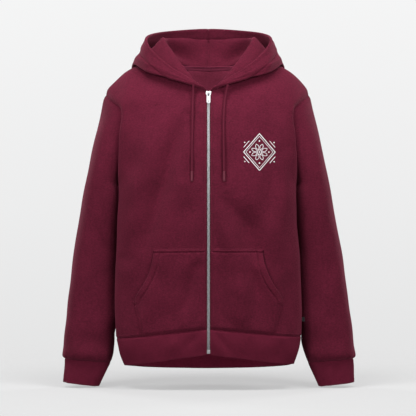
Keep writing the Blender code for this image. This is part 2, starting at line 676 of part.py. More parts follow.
# bridge: half ring about the pivot, feet sunk in the face
ARCH_IN, ARCH_OUT, ARCH_W = 0.0030, 0.0042, 0.0024
arc = [(-ARCH_OUT * math.sin(math.pi * k / 10), ARCH_OUT * math.cos(math.pi * k / 10)) for k in range(11)]
arc_in = [(-ARCH_IN * math.sin(math.pi * k / 10), ARCH_IN * math.cos(math.pi * k / 10)) for k in range(10, -1, -1)]
ring = [(FACE + 0.0006, ARCH_OUT)] + arc + [(FACE + 0.0006, -ARCH_OUT), (FACE + 0.0006, -ARCH_IN)] + arc_in \
    + [(FACE + 0.0006, ARCH_IN)]
bridge = make_object("bridge_guide", *prism(ring, -ARCH_W / 2, ARCH_W / 2, 0), STEEL, 0.3, 1.0)
for o in (body, bridge, core):
    tilted(o)
for o in (bridge, core):
    o.hide_render = True
    o.display_type = "WIRE"
    joinup = body.modifiers.new(o.name, "BOOLEAN")
    joinup.operation = "UNION"
    joinup.object = o
    joinup.solver = "EXACT"

# pull tab: plate with a slot round the bridge and a small hole near its foot
SLOT_TOP, SLOT_FOOT, SLOT_HALF = -0.0008, -0.0078, 0.0017


def rounded(x, z0, z1, r, steps=3):
    """Rounded rectangle, centred on x = 0, in x and z."""
    pts = []
    for cx, cz, a0 in ((x - r, z1 - r, 0), (-x + r, z1 - r, 90), (-x + r, z0 + r, 180), (x - r, z0 + r, 270)):
        for k in range(steps + 1):
            a = math.radians(a0 + 90 * k / steps)
            pts.append((cx + r * math.cos(a), cz + r * math.sin(a)))
    return pts


plate = rounded(PULL_W / 2, 0.0012 - PULL_L, 0.0012, 0.0022)
pull = make_object("zip_pull", *prism(plate, -PULL_T / 2, PULL_T / 2, 1), STEEL, 0.3, 1.0)
pull.name = "zip_pull"
slot = make_object("slot_guide", *prism(rounded(SLOT_HALF, SLOT_FOOT, SLOT_TOP, 0.0008), -0.004, 0.004, 1), STEEL)
eye = make_object("eye_guide", *prism(rounded(0.0014, 0.0012 - PULL_L + 0.0022, 0.0012 - PULL_L + 0.0050, 0.00135),
                                      -0.004, 0.004, 1), STEEL)
for o in (pull, slot, eye):
    tilted(o)
for o in (slot, eye):
    o.hide_render = True
    o.display_type = "WIRE"
    cut = pull.modifiers.new(o.name, "BOOLEAN")
    cut.operation = "DIFFERENCE"
    cut.object = o
    cut.solver = "EXACT"

# ---------------------------------------------------------------- neck tape
def on_back(x, z):
    """Depth of the back panel's outer face at (x, z), read off its grid."""
    g = half_l if x >= 0 else half_r
    pairs = []
    for row in g:
        xs = np.abs(row[:, 0])
        pairs.append((np.interp(abs(x), xs, row[:, 2]), np.interp(abs(x), xs, row[:, 1])))
    pairs = np.array(sorted(pairs))
    return np.interp(z, pairs[:, 0], pairs[:, 1])


TAPE_WIDTH, TAPE_WALL, TAPE_IN = 0.0090, 0.0010, 0.0046
nape_table = numbered([NECK[5], NECK[6], NECK[7], (-NECK[6][0], *NECK[6][1:]), (-NECK[5][0], *NECK[5][1:])])
tape = []
for k in range(3):
    row = []
    for p in smooth(nape_table, np.linspace(0.0, 4.0, 15)):
        z = p[2] - 0.0010 - TAPE_WIDTH * k / 2
        row.append((p[0], min(on_back(p[0], z), p[1] + 0.9 * (p[2] - z)) - TAPE_IN, z))
    tape.append(row)
shell("neck_tape", np.array(tape), TAPE_WALL, (0.10, 0.013, 0.023), outward=(0, 0, -0.02))

# ----------------------------------------------------------------- side tag
tz, ty, tx = -0.5785, -0.0300, 0.2166
tag = [(tx, ty, tz - 0.005), (tx + 0.0072, ty - 0.0052, tz - 0.005),
       (tx + 0.0072, ty - 0.0052, tz + 0.005), (tx, ty, tz + 0.005)]
back_step = np.array([0.0007, 0.0010, 0.0])
verts = [np.array(p) for p in tag] + [np.array(p) + back_step for p in tag]
verts = list(lean(np.array(verts)) + np.array([0.0010, -0.0010, 0.0]))
make_object("side_tag", verts, [(0, 1, 2, 3), (7, 6, 5, 4), (0, 4, 5, 1), (1, 5, 6, 2), (2, 6, 7, 3), (3, 7, 4, 0)],
            (0.01, 0.01, 0.01))

# ---------------------------------------------------------------- drawcords
for word, side in SIDES:
    col = 1 if side > 0 else 0
    knots = []
    for r in CORD:
        p, n = front_frame(r[col], r[2], word)
        knots.append(p + n * r[3])
    knots = np.array(knots)
    d = np.concatenate([[0.0], np.cumsum(np.linalg.norm(np.diff(knots, axis=0), axis=1))])
    table = [(d[i], *knots[i]) for i in range(len(knots))]
    steps = int(round(d[-1] / (2.5 * CORD_D)))
    pts = smooth(table, np.linspace(0, d[-1], steps + 1))
    curve = bpy.data.curves.new("drawcord_" + word, "CURVE")
    curve.dimensions = "3D"
    curve.bevel_depth = CORD_D / 2
    curve.bevel_resolution = 2
    curve.use_fill_caps = True
    sp = curve.splines.new("POLY")
    sp.points.add(len(pts) - 1)
    for q, p in zip(sp.points, pts):
        q.co = (*p, 1.0)
    mat = bpy.data.materials.new("cord_" + word)
    mat.use_nodes = True
    mat.node_tree.nodes["Principled BSDF"].inputs["Base Color"].default_value = (*MAROON, 1.0)
    mat.node_tree.nodes["Principled BSDF"].inputs["Roughness"].default_value = 0.9
    curve.materials.append(mat)
    obj = bpy.data.objects.new("drawcord_" + word, curve)
    bpy.context.scene.collection.objects.link(obj)
    # tip: a turned sleeve on the cord's end
    down = unit(pts[-1] - pts[-2])
    start = pts[-1] + down * 0.0003
    e1 = unit(np.cross(down, np.array([0.0, 1.0, 0.0])))
    e2 = np.cross(down, e1)
    verts, faces, sides = [], [], 12
    prof = [(0.0, 0.0027), (0.0008, 0.0030), (TIP_LENGTH - 0.0012, 0.0030), (TIP_LENGTH, 0.0020)]
    for s, r in prof:
        for k in range(sides):
            a = 2 * math.pi * k / sides
            verts.append(start + down * s + (e1 * math.cos(a) + e2 * math.sin(a)) * r)
    for i in range(len(prof) - 1):
        for k in range(sides):
            q = (k + 1) % sides
            faces.append((i * sides + k, i * sides + q, (i + 1) * sides + q, (i + 1) * sides + k))
    faces.append(tuple(range(sides))[::-1])
    faces.append(tuple((len(prof) - 1) * sides + k for k in range(sides)))
    make_object("cord_tip_" + word, verts, faces, (0.12, 0.02, 0.03), 0.6)
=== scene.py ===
"""Looks of the zip up hoodie: thin cloth shells with their creases, seams, stitches,
rib, zip and cords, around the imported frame.  Metres, +Z up, the front faces -Y."""

import math

import bmesh
import bpy
import numpy as np
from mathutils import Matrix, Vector


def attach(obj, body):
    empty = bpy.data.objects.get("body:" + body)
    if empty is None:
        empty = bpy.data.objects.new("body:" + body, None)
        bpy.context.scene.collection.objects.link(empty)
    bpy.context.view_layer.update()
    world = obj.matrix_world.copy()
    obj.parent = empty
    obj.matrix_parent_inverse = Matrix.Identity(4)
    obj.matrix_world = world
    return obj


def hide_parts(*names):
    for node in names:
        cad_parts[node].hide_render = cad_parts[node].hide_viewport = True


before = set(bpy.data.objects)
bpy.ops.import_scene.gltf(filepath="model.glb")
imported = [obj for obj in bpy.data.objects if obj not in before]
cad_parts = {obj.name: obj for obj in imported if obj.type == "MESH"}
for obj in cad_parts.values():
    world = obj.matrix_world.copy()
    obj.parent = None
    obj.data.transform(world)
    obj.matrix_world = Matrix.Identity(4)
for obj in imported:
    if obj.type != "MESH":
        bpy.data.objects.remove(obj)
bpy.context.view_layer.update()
BODY, TAB = "garment", "pull_tab"

# ------------------------------------------------------------------ camera
SCALE, DIST, EYE_Z = 0.0023, 5.0, -0.3243
cam = bpy.data.cameras.new("camera")
cam_obj = bpy.data.objects.new("camera", cam)
bpy.context.scene.collection.objects.link(cam_obj)
cam_obj.location = (-0.00115, -DIST, EYE_Z)
cam_obj.rotation_euler = (math.pi / 2, 0.0, 0.0)
cam.sensor_width = 36.0
cam.lens = 36.0 * DIST / (416 * SCALE)
cam.clip_start, cam.clip_end = 0.1, 200.0
bpy.context.scene.camera = cam_obj

# ------------------------------------------- named sizes, as in the CAD part
WALL, HOOD_WALL, RIB_WALL = 0.0020, 0.0030, 0.0026
ZIP_EDGE = 0.0048
ARMPIT_ROW, TOP_ROW, THROAT_ROW, NAPE_ROW = 9, 18, 14, 15
SHIFT, HEM_TILT = 0.0028, 0.0020
PUFF = 0.0008          # cloth stands this far proud of its seams
SIDES = (("left", 1), ("right", -1))

# centre front edge: v, y, z
CENTRE_FRONT = [
    (0.00, -0.1270, -0.5966), (0.20, -0.1280, -0.4930), (0.42, -0.1300, -0.3760), (0.62, -0.1275, -0.2680),
    (0.80, -0.1215, -0.1700), (0.91, -0.1120, -0.1100), (1.00, -0.0985, -0.0625),
]
# centre back: v, y, z
CENTRE_BACK = [
    (0.00, 0.1180, -0.6400), (0.20, 0.1250, -0.5150), (0.40, 0.1310, -0.3850), (0.58, 0.1340, -0.2650),
    (0.72, 0.1295, -0.1750), (0.85, 0.1130, -0.0930), (0.93, 0.0900, -0.0420), (1.00, 0.0660, 0.0000),
]
# neck seam, throat to nape: x, y, z
NECK = [
    (0.0048, -0.0985, -0.0625), (0.0300, -0.0890, -0.0500), (0.0560, -0.0670, -0.0290), (0.0780, -0.0340, -0.0030),
    (0.0880, 0.0000, 0.0180), (0.0790, 0.0340, 0.0130), (0.0500, 0.0570, 0.0050), (0.0000, 0.0660, 0.0000),
]
# side seam: v, x, y, z
SIDE_SEAM = [
    (0.00, 0.2150, -0.0260, -0.6190), (0.16, 0.2170, -0.0230, -0.5635), (0.32, 0.2162, -0.0190, -0.5080),
    (0.48, 0.2135, -0.0150, -0.4530), (0.64, 0.2105, -0.0100, -0.3980), (0.80, 0.2068, -0.0050, -0.3380),
    (1.00, 0.2018, 0.0040, -0.2680),
]
# armhole, armpit to shoulder: front x, y, z, fold, back x, y, z, fold
ARMHOLE = [
    (0.2018, 0.0040, -0.2680, 0.003, 0.2018, 0.0040, -0.2680, 0.003),
    (0.1990, -0.0200, -0.2550, 0.009, 0.1990, 0.0250, -0.2570, 0.006),
    (0.1940, -0.0400, -0.2250, 0.012, 0.1950, 0.0470, -0.2330, 0.008),
    (0.1890, -0.0540, -0.1900, 0.014, 0.1910, 0.0630, -0.2010, 0.009),
    (0.1855, -0.0600, -0.1550, 0.015, 0.1890, 0.0700, -0.1680, 0.009),
    (0.1840, -0.0600, -0.1250, 0.012, 0.1910, 0.0690, -0.1370, 0.006),
    (0.1930, -0.0550, -0.1010, 0.005, 0.1980, 0.0610, -0.1110, 0.003),
    (0.2070, -0.0430, -0.0880, 0.001, 0.2090, 0.0470, -0.0910, 0.001),
    (0.2210, -0.0240, -0.0755, 0.000, 0.2220, 0.0260, -0.0760, 0.000),
    (0.2320, 0.0000, -0.0640, 0.000, 0.2320, 0.0000, -0.0640, 0.000),
]
# roundness: v, front n, back n, late front, late back
ROUNDNESS = [
    (0.00, 2.9, 2.5, 0.0, 0.8), (0.28, 2.9, 2.5, 0.0, 0.2), (0.45, 3.1, 2.6, 0.0, 0.0), (0.52, 2.9, 2.5, 0.0, 0.0),
    (0.60, 2.5, 2.35, 0.1, 0.2), (0.69, 2.25, 2.2, 0.2, 0.5), (0.78, 2.2, 2.1, 0.4, 0.8), (0.90, 2.0, 2.0, 0.8, 1.0),
    (1.00, 1.75, 1.75, 1.0, 1.0),
]
FRONT_COLS = (0.0, 0.17, 0.34, 0.50, 0.64, 0.76, 0.86, 0.935, 1.0)
# sleeve rings: outer x, z, inner x, z, centre y, half depth, share of own form
SLEEVE = [
    (0.2320, -0.0640, 0.2018, -0.2680, 0.004, 0.066, 0.00), (0.2372, -0.0790, 0.2078, -0.2765, 0.004, 0.067, 0.10),
    (0.2462, -0.1130, 0.2098, -0.2900, 0.006, 0.071, 0.42), (0.2582, -0.1620, 0.2108, -0.3060, 0.008, 0.075, 0.76),
    (0.2712, -0.2220, 0.2122, -0.3280, 0.010, 0.077, 0.95), (0.2838, -0.2890, 0.2138, -0.3600, 0.012, 0.076, 1.00),
    (0.2955, -0.3560, 0.2165, -0.4020, 0.012, 0.071, 1.00), (0.3060, -0.4130, 0.2185, -0.4460, 0.010, 0.066, 1.00),
    (0.3138, -0.4700, 0.2205, -0.4920, 0.006, 0.061, 1.00), (0.3210, -0.5300, 0.2218, -0.5400, 0.002, 0.056, 1.00),
    (0.3275, -0.5860, 0.2215, -0.5880, -0.002, 0.052, 1.00), (0.3325, -0.6330, 0.2220, -0.6380, -0.005, 0.049, 1.00),
    (0.3362, -0.6600, 0.2262, -0.6680, -0.006, 0.046, 1.00), (0.3306, -0.6693, 0.2289, -0.6778, -0.006, 0.0365, 1.00),
]
# cuff rings: outer x, z, inner x, z, centre y, half depth
CUFF = [
    (0.3306, -0.6693, 0.2289, -0.6778, -0.006, 0.0365),
    (0.3308, -0.6950, 0.2400, -0.7040, -0.006, 0.0340),
    (0.3330, -0.7225, 0.2525, -0.7320, -0.006, 0.0300),
]
HEM = {"front": (0.0048, -0.1180, -0.6537), "side": (0.1965, -0.0200, -0.6800), "back": (0.0, 0.1120, -0.7000)}
# hood folds per neck point: ridge x, y, z, bag x, y, z, edge x, y, z
HOOD = [
    (0.0062, -0.1005, -0.0575, 0.0085, -0.1030, -0.0550, 0.0105, -0.1055, -0.0520),
    (0.0304, -0.0965, -0.0390, 0.0445, -0.1060, -0.0430, 0.0445, -0.1035, -0.0340),
    (0.0578, -0.0715, -0.0045, 0.0937, -0.0880, -0.0285, 0.0947, -0.0810, -0.0010),
    (0.0856, -0.0380, 0.0331, 0.1397, -0.0590, -0.0140, 0.1325, -0.0480, 0.0364),
    (0.1046, -0.0040, 0.0645, 0.1720, 0.0080, 0.0060, 0.1432, -0.0100, 0.0625),
    (0.0975, 0.0360, 0.0660, 0.1650, 0.0820, -0.0450, 0.1291, 0.0500, 0.0780),
    (0.0617, 0.0640, 0.0670, 0.1000, 0.1300, -0.1080, 0.0858, 0.0980, 0.0885),
    (0.0000, 0.0780, 0.0665, 0.0000, 0.1480, -0.1350, 0.0000, 0.1200, 0.0950),
]
BAG_BOW = [(-0.001, 0.000, 0.001), (-0.003, 0.001, 0.002), (-0.005, 0.002, 0.004), (-0.006, 0.003, 0.003),
           (-0.006, 0.003, -0.0005), (-0.004, 0.004, 0.004), (-0.002, 0.003, 0.018), (0.000, 0.002, 0.020)]
# pocket: z, x of the outer edge, stand-off there
POCKET = [(-0.6150, 0.1480, 0.0020), (-0.5700, 0.1575, 0.0020), (-0.5330, 0.1665, 0.0018),
          (-0.4980, 0.1450, 0.0050), (-0.4570, 0.1282, 0.0055), (-0.4165, 0.1212, 0.0015)]
POCKET_TOP_DROP = 0.0016
# drawcord: x right cord, x left cord, z, stand-off
CORD_D, TIP_LENGTH = 0.0055, 0.0230
CORD = [
    (-0.0338, 0.0428, -0.0470, 0.0125), (-0.0342, 0.0400, -0.0620, 0.0085), (-0.0346, 0.0368, -0.0800, 0.0055),
    (-0.0352, 0.0345, -0.1050, 0.0046), (-0.0358, 0.0335, -0.1350, 0.0044), (-0.0364, 0.0337, -0.1700, 0.0044),
    (-0.0369, 0.0342, -0.2050, 0.0044), (-0.0372, 0.0347, -0.2420, 0.0044),
]
SLIDER_TOP_Z, SLIDER_L, SLIDER_W = -0.0600, 0.0140, 0.0118
PULL_L, PULL_W, PULL_T = 0.0245, 0.0086, 0.0016
PIVOT_OUT, FACE = 0.0056, 0.0018


# --------------------------------------------------------------- functions
def smooth(table, t):
    """Smooth curve through a table whose first column is the parameter."""
    a = np.asarray(table, float)
    p, q = a[:, 0], a[:, 1:]
    m = np.zeros_like(q)
    m[1:-1] = (q[2:] - q[:-2]) / (p[2:] - p[:-2])[:, None]
    m[0] = (q[1] - q[0]) / (p[1] - p[0])
    m[-1] = (q[-1] - q[-2]) / (p[-1] - p[-2])
    t = np.atleast_1d(np.asarray(t, float))
    k = np.clip(np.searchsorted(p, t, side="right") - 1, 0, len(p) - 2)
    h = (p[k + 1] - p[k])[:, None]
    s = ((t - p[k])[:, None]) / h
    return ((2 * s**3 - 3 * s**2 + 1) * q[k] + (s**3 - 2 * s**2 + s) * h * m[k]
            + (3 * s**2 - 2 * s**3) * q[k + 1] + (s**3 - s**2) * h * m[k + 1])


def numbered(rows):
    return [(float(i),) + tuple(r) for i, r in enumerate(rows)]


def unit(v):
    n = np.linalg.norm(v, axis=-1, keepdims=True)
    return v / np.maximum(n, 1e-12)


def lengths(p):
    """Distance run along a line of points."""
    return np.concatenate([[0.0], np.cumsum(np.linalg.norm(np.diff(p, axis=0), axis=1))])


def run(g, axis):
    """Distance run along one axis of a grid."""
    d = np.linalg.norm(np.diff(g, axis=axis), axis=2)
    z = np.zeros_like(np.take(d, [0], axis=axis))
    return np.concatenate([z, np.cumsum(d, axis=axis)], axis=axis)


def along(pts, want):
    """Points at the wanted distances along a line."""
    d = lengths(pts)
    return np.stack([np.interp(want, d, pts[:, k]) for k in range(pts.shape[1])], axis=1)


def row_curve(left, right, n, late, fold, steps=721):
    """A quarter of a rounded section from the centre line to the side, finely stepped."""
    th = np.linspace(0.0, math.pi / 2, steps)
    s, c = np.sin(th) ** (2.0 / n), np.maximum(np.cos(th), 0.0) ** (2.0 / n)
    q = th / (math.pi / 2)
    pts = np.empty((len(th), 3))
    pts[:, 0] = left[0] + (right[0] - left[0]) * s + fold * 12.2 * q**4 * (1 - q)
    pts[:, 1] = left[1] + (right[1] - left[1]) * (1 - c)
    pts[:, 2] = left[2] + (right[2] - left[2]) * ((1 - late) * s + late * (1 - c))
    return pts


def lean(p):
    p = np.array(p, float)
    w = np.clip((np.abs(p[..., 0]) - 0.12) / 0.10, 0, 1)
    w = w * w * (3 - 2 * w)
    k = np.interp(-p[..., 2], [-0.10, -0.02, 0.05, 0.35, 0.50, 0.60, 0.68], [0, 0.4, 1.0, 1.0, 0.25, -0.1, -0.5])
    p[..., 0] -= SHIFT * k * w
    # the sides draw in a little toward the hem, and the shoulders drop a little at their ends
    x = np.abs(p[..., 0])
    a, b = np.clip((x - 0.12) / 0.07, 0, 1), np.clip((x - 0.212) / 0.035, 0, 1)
    w = a * a * (3 - 2 * a) * (1 - b * b * (3 - 2 * b))
    k = np.interp(-p[..., 2], [0.27, 0.36, 0.45, 0.55, 0.63, 0.66, 0.70], [0, 0.0020, 0.0034, 0.0044, 0.0050, 0.0042, 0.0030])
    p[..., 0] -= np.sign(p[..., 0]) * k * w
    for side, drop in ((1, 0.0028), (-1, 0.0065)):
        p[..., 2] -= drop * np.exp(-((p[..., 0] * side - 0.209) / 0.020) ** 2 - ((p[..., 2] + 0.045) / 0.030) ** 2)
    return p


def mirror(grid, side):
    g = np.array(grid, float)
    g[..., 0] *= side
    return g


def normals(g, closed):
    dj = np.roll(g, -1, axis=1) - np.roll(g, 1, axis=1) if closed else np.gradient(g, axis=1)
    return unit(np.cross(dj, np.gradient(g, axis=0)))


def facing(n, g, centre):
    """The normals turned away from a centre (a point, or a point for each row)."""
    return -n if np.sum(n * (g - centre)) < 0 else n


NECK_TABLE = numbered(NECK + [(-NECK[6][0], NECK[6][1], NECK[6][2])])


def panel_ends(kind, side, i):
    """Left and right end of a panel row, its fold and its roundness, at a row number."""
    front = kind == "front"
    turn = THROAT_ROW if front else NAPE_ROW
    if i <= turn:
        y, z = smooth(CENTRE_FRONT if front else CENTRE_BACK, i / turn)[0]
        left = np.array([ZIP_EDGE if front else 0.0, y, z])
    else:
        left = smooth(NECK_TABLE, i - THROAT_ROW if front else 7 - (i - NAPE_ROW))[0]
    if i <= ARMPIT_ROW:
        right = smooth(SIDE_SEAM, i / ARMPIT_ROW)[0]
        right[2] += side * HEM_TILT * (1 - i / ARMPIT_ROW)
        fold = ARMHOLE[0][3 if front else 7] * (i / ARMPIT_ROW) ** 4
    else:
        a = smooth(numbered(ARMHOLE), i - ARMPIT_ROW)[0]
        right, fold = (a[0:3], a[3]) if front else (a[4:7], a[7])
    nf, nb, lf, lb = smooth(ROUNDNESS, i / TOP_ROW)[0]
    return left, right, (nf if front else nb), (lf if front else lb), fold


def coarse_front(side):
    rows = []
    for i in range(TOP_ROW + 1):
        pts = row_curve(*panel_ends("front", side, i), steps=181)
        rows.append(along(pts, np.asarray(FRONT_COLS) * lengths(pts)[-1]))
    return lean(mirror(np.array(rows), side))


coarse = {word: coarse_front(side) for word, side in SIDES}


def on_front(x, z, word):
    g = coarse[word]
    side = 1 if word == "left" else -1
    rowz = []
    for i in range(THROAT_ROW + 1):
        xs = g[i, :, 0] * side
        order = np.argsort(xs)
        rowz.append((np.interp(x * side, xs[order], g[i, order, 1]), np.interp(x * side, xs[order], g[i, order, 2])))
    rowz = np.array(rowz)
    order = np.argsort(rowz[:, 1])
    return np.interp(z, rowz[order, 1], rowz[order, 0])


def front_frame(x, z, word, d=0.006):
    side = 1 if word == "left" else -1
    x0 = max(abs(x), ZIP_EDGE) * side
    p = np.array([x, on_front(x0, z, word), z])
    px = np.array([x0 + side * d, on_front(x0 + side * d, z, word), z]) - np.array([x0, p[1], z])
    pz = np.array([x0, on_front(x0, z + d, word), z + d]) - np.array([x0, on_front(x0, z - d, word), z - d])
    n = unit(np.cross(px * side, pz))
    return p, (n if n[1] < 0 else -n)


def wobble(u, v, size, seed, waves=9):
    """Smooth unevenness about 1 high, with bumps of roughly the given size."""
    rng = np.random.default_rng(seed)
    out = np.zeros_like(np.asarray(u, float) + np.asarray(v, float))
    for _ in range(waves):
        a, f, ph = rng.uniform(0, 2 * math.pi), 2 * math.pi / size * rng.uniform(0.55, 1.5), rng.uniform(0, 6.28)
        out += np.sin(f * (u * math.cos(a) + v * math.sin(a)) + ph)
    return out / math.sqrt(waves / 1.5)


def crease_field(u, v, table, warp=0.003, seed=3):
    """Soft troughs (positive depth) and ridges (negative), each a list of rows:
    u, v in metres, depth in mm, half width in mm.  Returns the outward shift in metres."""
    uu = u + warp * wobble(u, v, 0.13, seed)
    vv = v + warp * wobble(u, v, 0.13, seed + 1)
    h = np.zeros_like(uu)
    for rows in table:
        r = np.array(rows, float)
        d = lengths(r[:, :2])
        t = smooth([(d[i], *r[i]) for i in range(len(r))], np.linspace(0, d[-1], 20))
        best = np.full_like(uu, 1e9)
        depth, width = np.zeros_like(uu), np.ones_like(uu)
        for a in range(len(t) - 1):
            p, seg = t[a, :2], t[a + 1, :2] - t[a, :2]
            s = np.clip(((uu - p[0]) * seg[0] + (vv - p[1]) * seg[1]) / max(seg @ seg, 1e-12), 0, 1)
            dist = np.hypot(uu - p[0] - s * seg[0], vv - p[1] - s * seg[1])
            m = dist < best
            best = np.where(m, dist, best)
            depth = np.where(m, t[a, 2] + s * (t[a + 1, 2] - t[a, 2]), depth)
            width = np.where(m, t[a, 3] + s * (t[a + 1, 3] - t[a, 3]), width)
        w = np.maximum(width * 1.35, 2.0) * 0.001
        h -= 0.001 * depth * (np.exp(-(best / w) ** 2) - 0.22 * np.exp(-((best - 2.0 * w) / w) ** 2))
    return h * 1.4


def fade(d, w):
    """0 at an edge, 1 well away from it."""
    return 1 - np.exp(-(d / w) ** 2)


def groove(d, at, depth, w):
    return -depth * np.exp(-((d - at) / w) ** 2)


# --------------------------------------------------------------- mesh tools
def mesh_object(name, verts, quads, tris=(), mat_index=None, uv=None, fix=True, sharp=50.0):
    """A mesh object at the origin from arrays of corners."""
    verts = np.asarray(verts, np.float32)
    quads = np.asarray(quads, np.int32).reshape(-1, 4)
    tris = np.asarray(tris, np.int32).reshape(-1, 3)
    mesh = bpy.data.meshes.new(name)
    mesh.vertices.add(len(verts))
    mesh.vertices.foreach_set("co", verts.ravel())
    loops = np.concatenate([quads.ravel(), tris.ravel()])
    mesh.loops.add(len(loops))
    mesh.loops.foreach_set("vertex_index", loops)
    n = len(quads) + len(tris)
    mesh.polygons.add(n)
    start = np.concatenate([np.arange(len(quads)) * 4, len(quads) * 4 + np.arange(len(tris)) * 3]).astype(np.int32)
    mesh.polygons.foreach_set("loop_start", start)
    if mat_index is not None:
        mesh.polygons.foreach_set("material_index", np.asarray(mat_index, np.int32))
    mesh.update(calc_edges=True)
    if uv is not None:
        layer = mesh.uv_layers.new(name="cloth")
        layer.data.foreach_set("uv", np.asarray(uv, np.float32)[loops].ravel())
    mesh.validate()
    if fix:
        bm = bmesh.new()
        bm.from_mesh(mesh)
        bmesh.ops.recalc_face_normals(bm, faces=bm.faces)
        if bm.calc_volume(signed=True) < 0:
            bmesh.ops.reverse_faces(bm, faces=bm.faces)
        bm.to_mesh(mesh)
        bm.free()
    mesh.shade_smooth()
    if sharp:
        mesh.set_sharp_from_angle(angle=math.radians(sharp))
    obj = bpy.data.objects.new(name, mesh)
    bpy.context.scene.collection.objects.link(obj)
    return obj


def shell_arrays(g, wall, closed=False, n=None, inner=None, rounds=(0, 0, 0, 0), open_left=-1, rim=3):
    """Corners and faces of a closed wall on a grid.  rounds says how round the rim is on the first row,
    last row, first column and last column.  open_left leaves the first column open up to that row."""
    ni, nj = g.shape[:2]
    if n is None:
        n = normals(g, closed)
    if inner is None:
        inner = g - n * wall
    off = ni * nj
    idx = np.arange(off).reshape(ni, nj)
    if closed:
        nxt = np.roll(idx, -1, axis=1)
        a, b, c, d = idx[:-1], nxt[:-1], nxt[1:], idx[1:]
    else:
        a, b, c, d = idx[:-1, :-1], idx[:-1, 1:], idx[1:, 1:], idx[1:, :-1]
    outer_q = np.stack([a, b, c, d], axis=-1).reshape(-1, 4)
    inner_q = outer_q[:, ::-1] + off
    verts = [g.reshape(-1, 3), inner.reshape(-1, 3)]
    quads, kinds = [outer_q, inner_q], [np.zeros(len(outer_q)), np.ones(len(inner_q))]
    src = [np.arange(off), np.arange(off)]
    if closed:
        loops = [(idx[0], unit(g[0] - g[1]) * rounds[0], True), (idx[-1], unit(g[-1] - g[-2]) * rounds[1], True)]
    else:
        e = np.zeros((ni, nj, 3))
        e[0] += unit(g[0] - g[1]) * rounds[0]
        e[-1] += unit(g[-1] - g[-2]) * rounds[1]
        e[:, 0] += unit(g[:, 0] - g[:, 1]) * rounds[2]
        e[:, -1] += unit(g[:, -1] - g[:, -2]) * rounds[3]
        ring = np.concatenate([idx[0], idx[1:, -1], idx[-1, -2::-1], idx[-2:0:-1, 0]])
        loops = [(ring, e.reshape(-1, 3)[ring], True)]
    base = 2 * off
    for ring, e, _ in loops:
        o, i_ = g.reshape(-1, 3)[ring], inner.reshape(-1, 3)[ring]
        mid, half = (o + i_) / 2, (o - i_) / 2
        r = np.linalg.norm(half, axis=1, keepdims=True)
        layers = [ring]
        for k in range(1, rim + 1):
            ph = math.pi * k / (rim + 1)
            verts.append(mid + half * math.cos(ph) + e * r * math.sin(ph))
            src.append(ring)
            layers.append(base + np.arange(len(ring)))
            base += len(ring)
        layers.append(ring + off)
        keep = np.ones(len(ring), bool)
        if open_left >= 0:
            row, col = ring // nj, ring % nj
            on = (col == 0) & (row <= open_left)
            keep = ~(on & np.roll(on, -1))
        for p, q in zip(layers[:-1], layers[1:]):
            f = np.stack([p, np.roll(p, -1), np.roll(q, -1), q], axis=-1)[keep]
            quads.append(f)
            kinds.append(np.zeros(len(f)))
    return np.concatenate(verts), np.concatenate(quads), np.concatenate(kinds), np.concatenate(src)


def cloth_uv(g, closed=False):
    """Across and along distances in metres, for each grid point."""
    u, v = run(g, 1), run(g, 0)
    u = u - u[:, :1] if closed else u
    return np.stack([u, v], axis=-1).reshape(-1, 2)


def shell(name, g, wall, mats, closed=False, **kw):
    v, q, k, src = shell_arrays(g, wall, closed, **kw)
    obj = mesh_object(name, v, q, mat_index=k, uv=cloth_uv(g, closed)[src])
    for m in mats:
        obj.data.materials.append(m)
    return obj


def place(obj, nodes=(), body=BODY):
    if nodes:
        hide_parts(*nodes)
    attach(obj, body)
    return obj


# --------------------------------------------------------------- materials
def nodes_of(name):
    mat = bpy.data.materials.new(name)
    mat.use_nodes = True
    nt = mat.node_tree
    return mat, nt, nt.nodes["Principled BSDF"]


def noise(nt, scale, detail=2.0, rough=0.5, coords="Object", stretch=None):
    tc = nt.nodes.new("ShaderNodeTexCoord")
    out = tc.outputs[coords]
    if stretch:
        mp = nt.nodes.new("ShaderNodeMapping")
        mp.inputs["Scale"].default_value = stretch
        nt.links.new(out, mp.inputs["Vector"])
        out = mp.outputs["Vector"]
    nz = nt.nodes.new("ShaderNodeTexNoise")
    nz.inputs["Scale"].default_value = scale
    nz.inputs["Detail"].default_value = detail
    nz.inputs["Roughness"].default_value = rough
    nt.links.new(out, nz.inputs["Vector"])
    return nz.outputs["Fac"]


def wave(nt, scale, direction, distortion=0.0, coords="UV"):
    tc = nt.nodes.new("ShaderNodeTexCoord")
    w = nt.nodes.new("ShaderNodeTexWave")
    w.bands_direction = direction
    w.inputs["Scale"].default_value = scale
    w.inputs["Distortion"].default_value = distortion
    nt.links.new(tc.outputs[coords], w.inputs["Vector"])
    return w.outputs["Fac"]


def math_node(nt, op, a, b):
    m = nt.nodes.new("ShaderNodeMath")
    m.operation = op
    for k, x in enumerate((a, b)):
        if isinstance(x, (int, float)):
            m.inputs[k].default_value = x
        else:
            nt.links.new(x, m.inputs[k])
    return m.outputs[0]


def ramp(nt, fac, stops):
    r = nt.nodes.new("ShaderNodeValToRGB")
    el = r.color_ramp.elements
    while len(el) < len(stops):
        el.new(0.5)
    for e, (p, c) in zip(el, stops):
        e.position = p
        e.color = (*c, 1.0)
    nt.links.new(fac, r.inputs["Fac"])
    return r.outputs["Color"]


def bump(nt, shader, height, strength, distance, below=None):
    b = nt.nodes.new("ShaderNodeBump")
    b.inputs["Strength"].default_value = strength
    b.inputs["Distance"].default_value = distance
    nt.links.new(height, b.inputs["Height"])
    if below is not None:
        nt.links.new(below, b.inputs["Normal"])
    nt.links.new(b.outputs["Normal"], shader.inputs["Normal"])
    return b.outputs["Normal"]


def tint(c, k):
    return tuple(x * k for x in c)


MAROON = (0.0495, 0.0045, 0.0118)


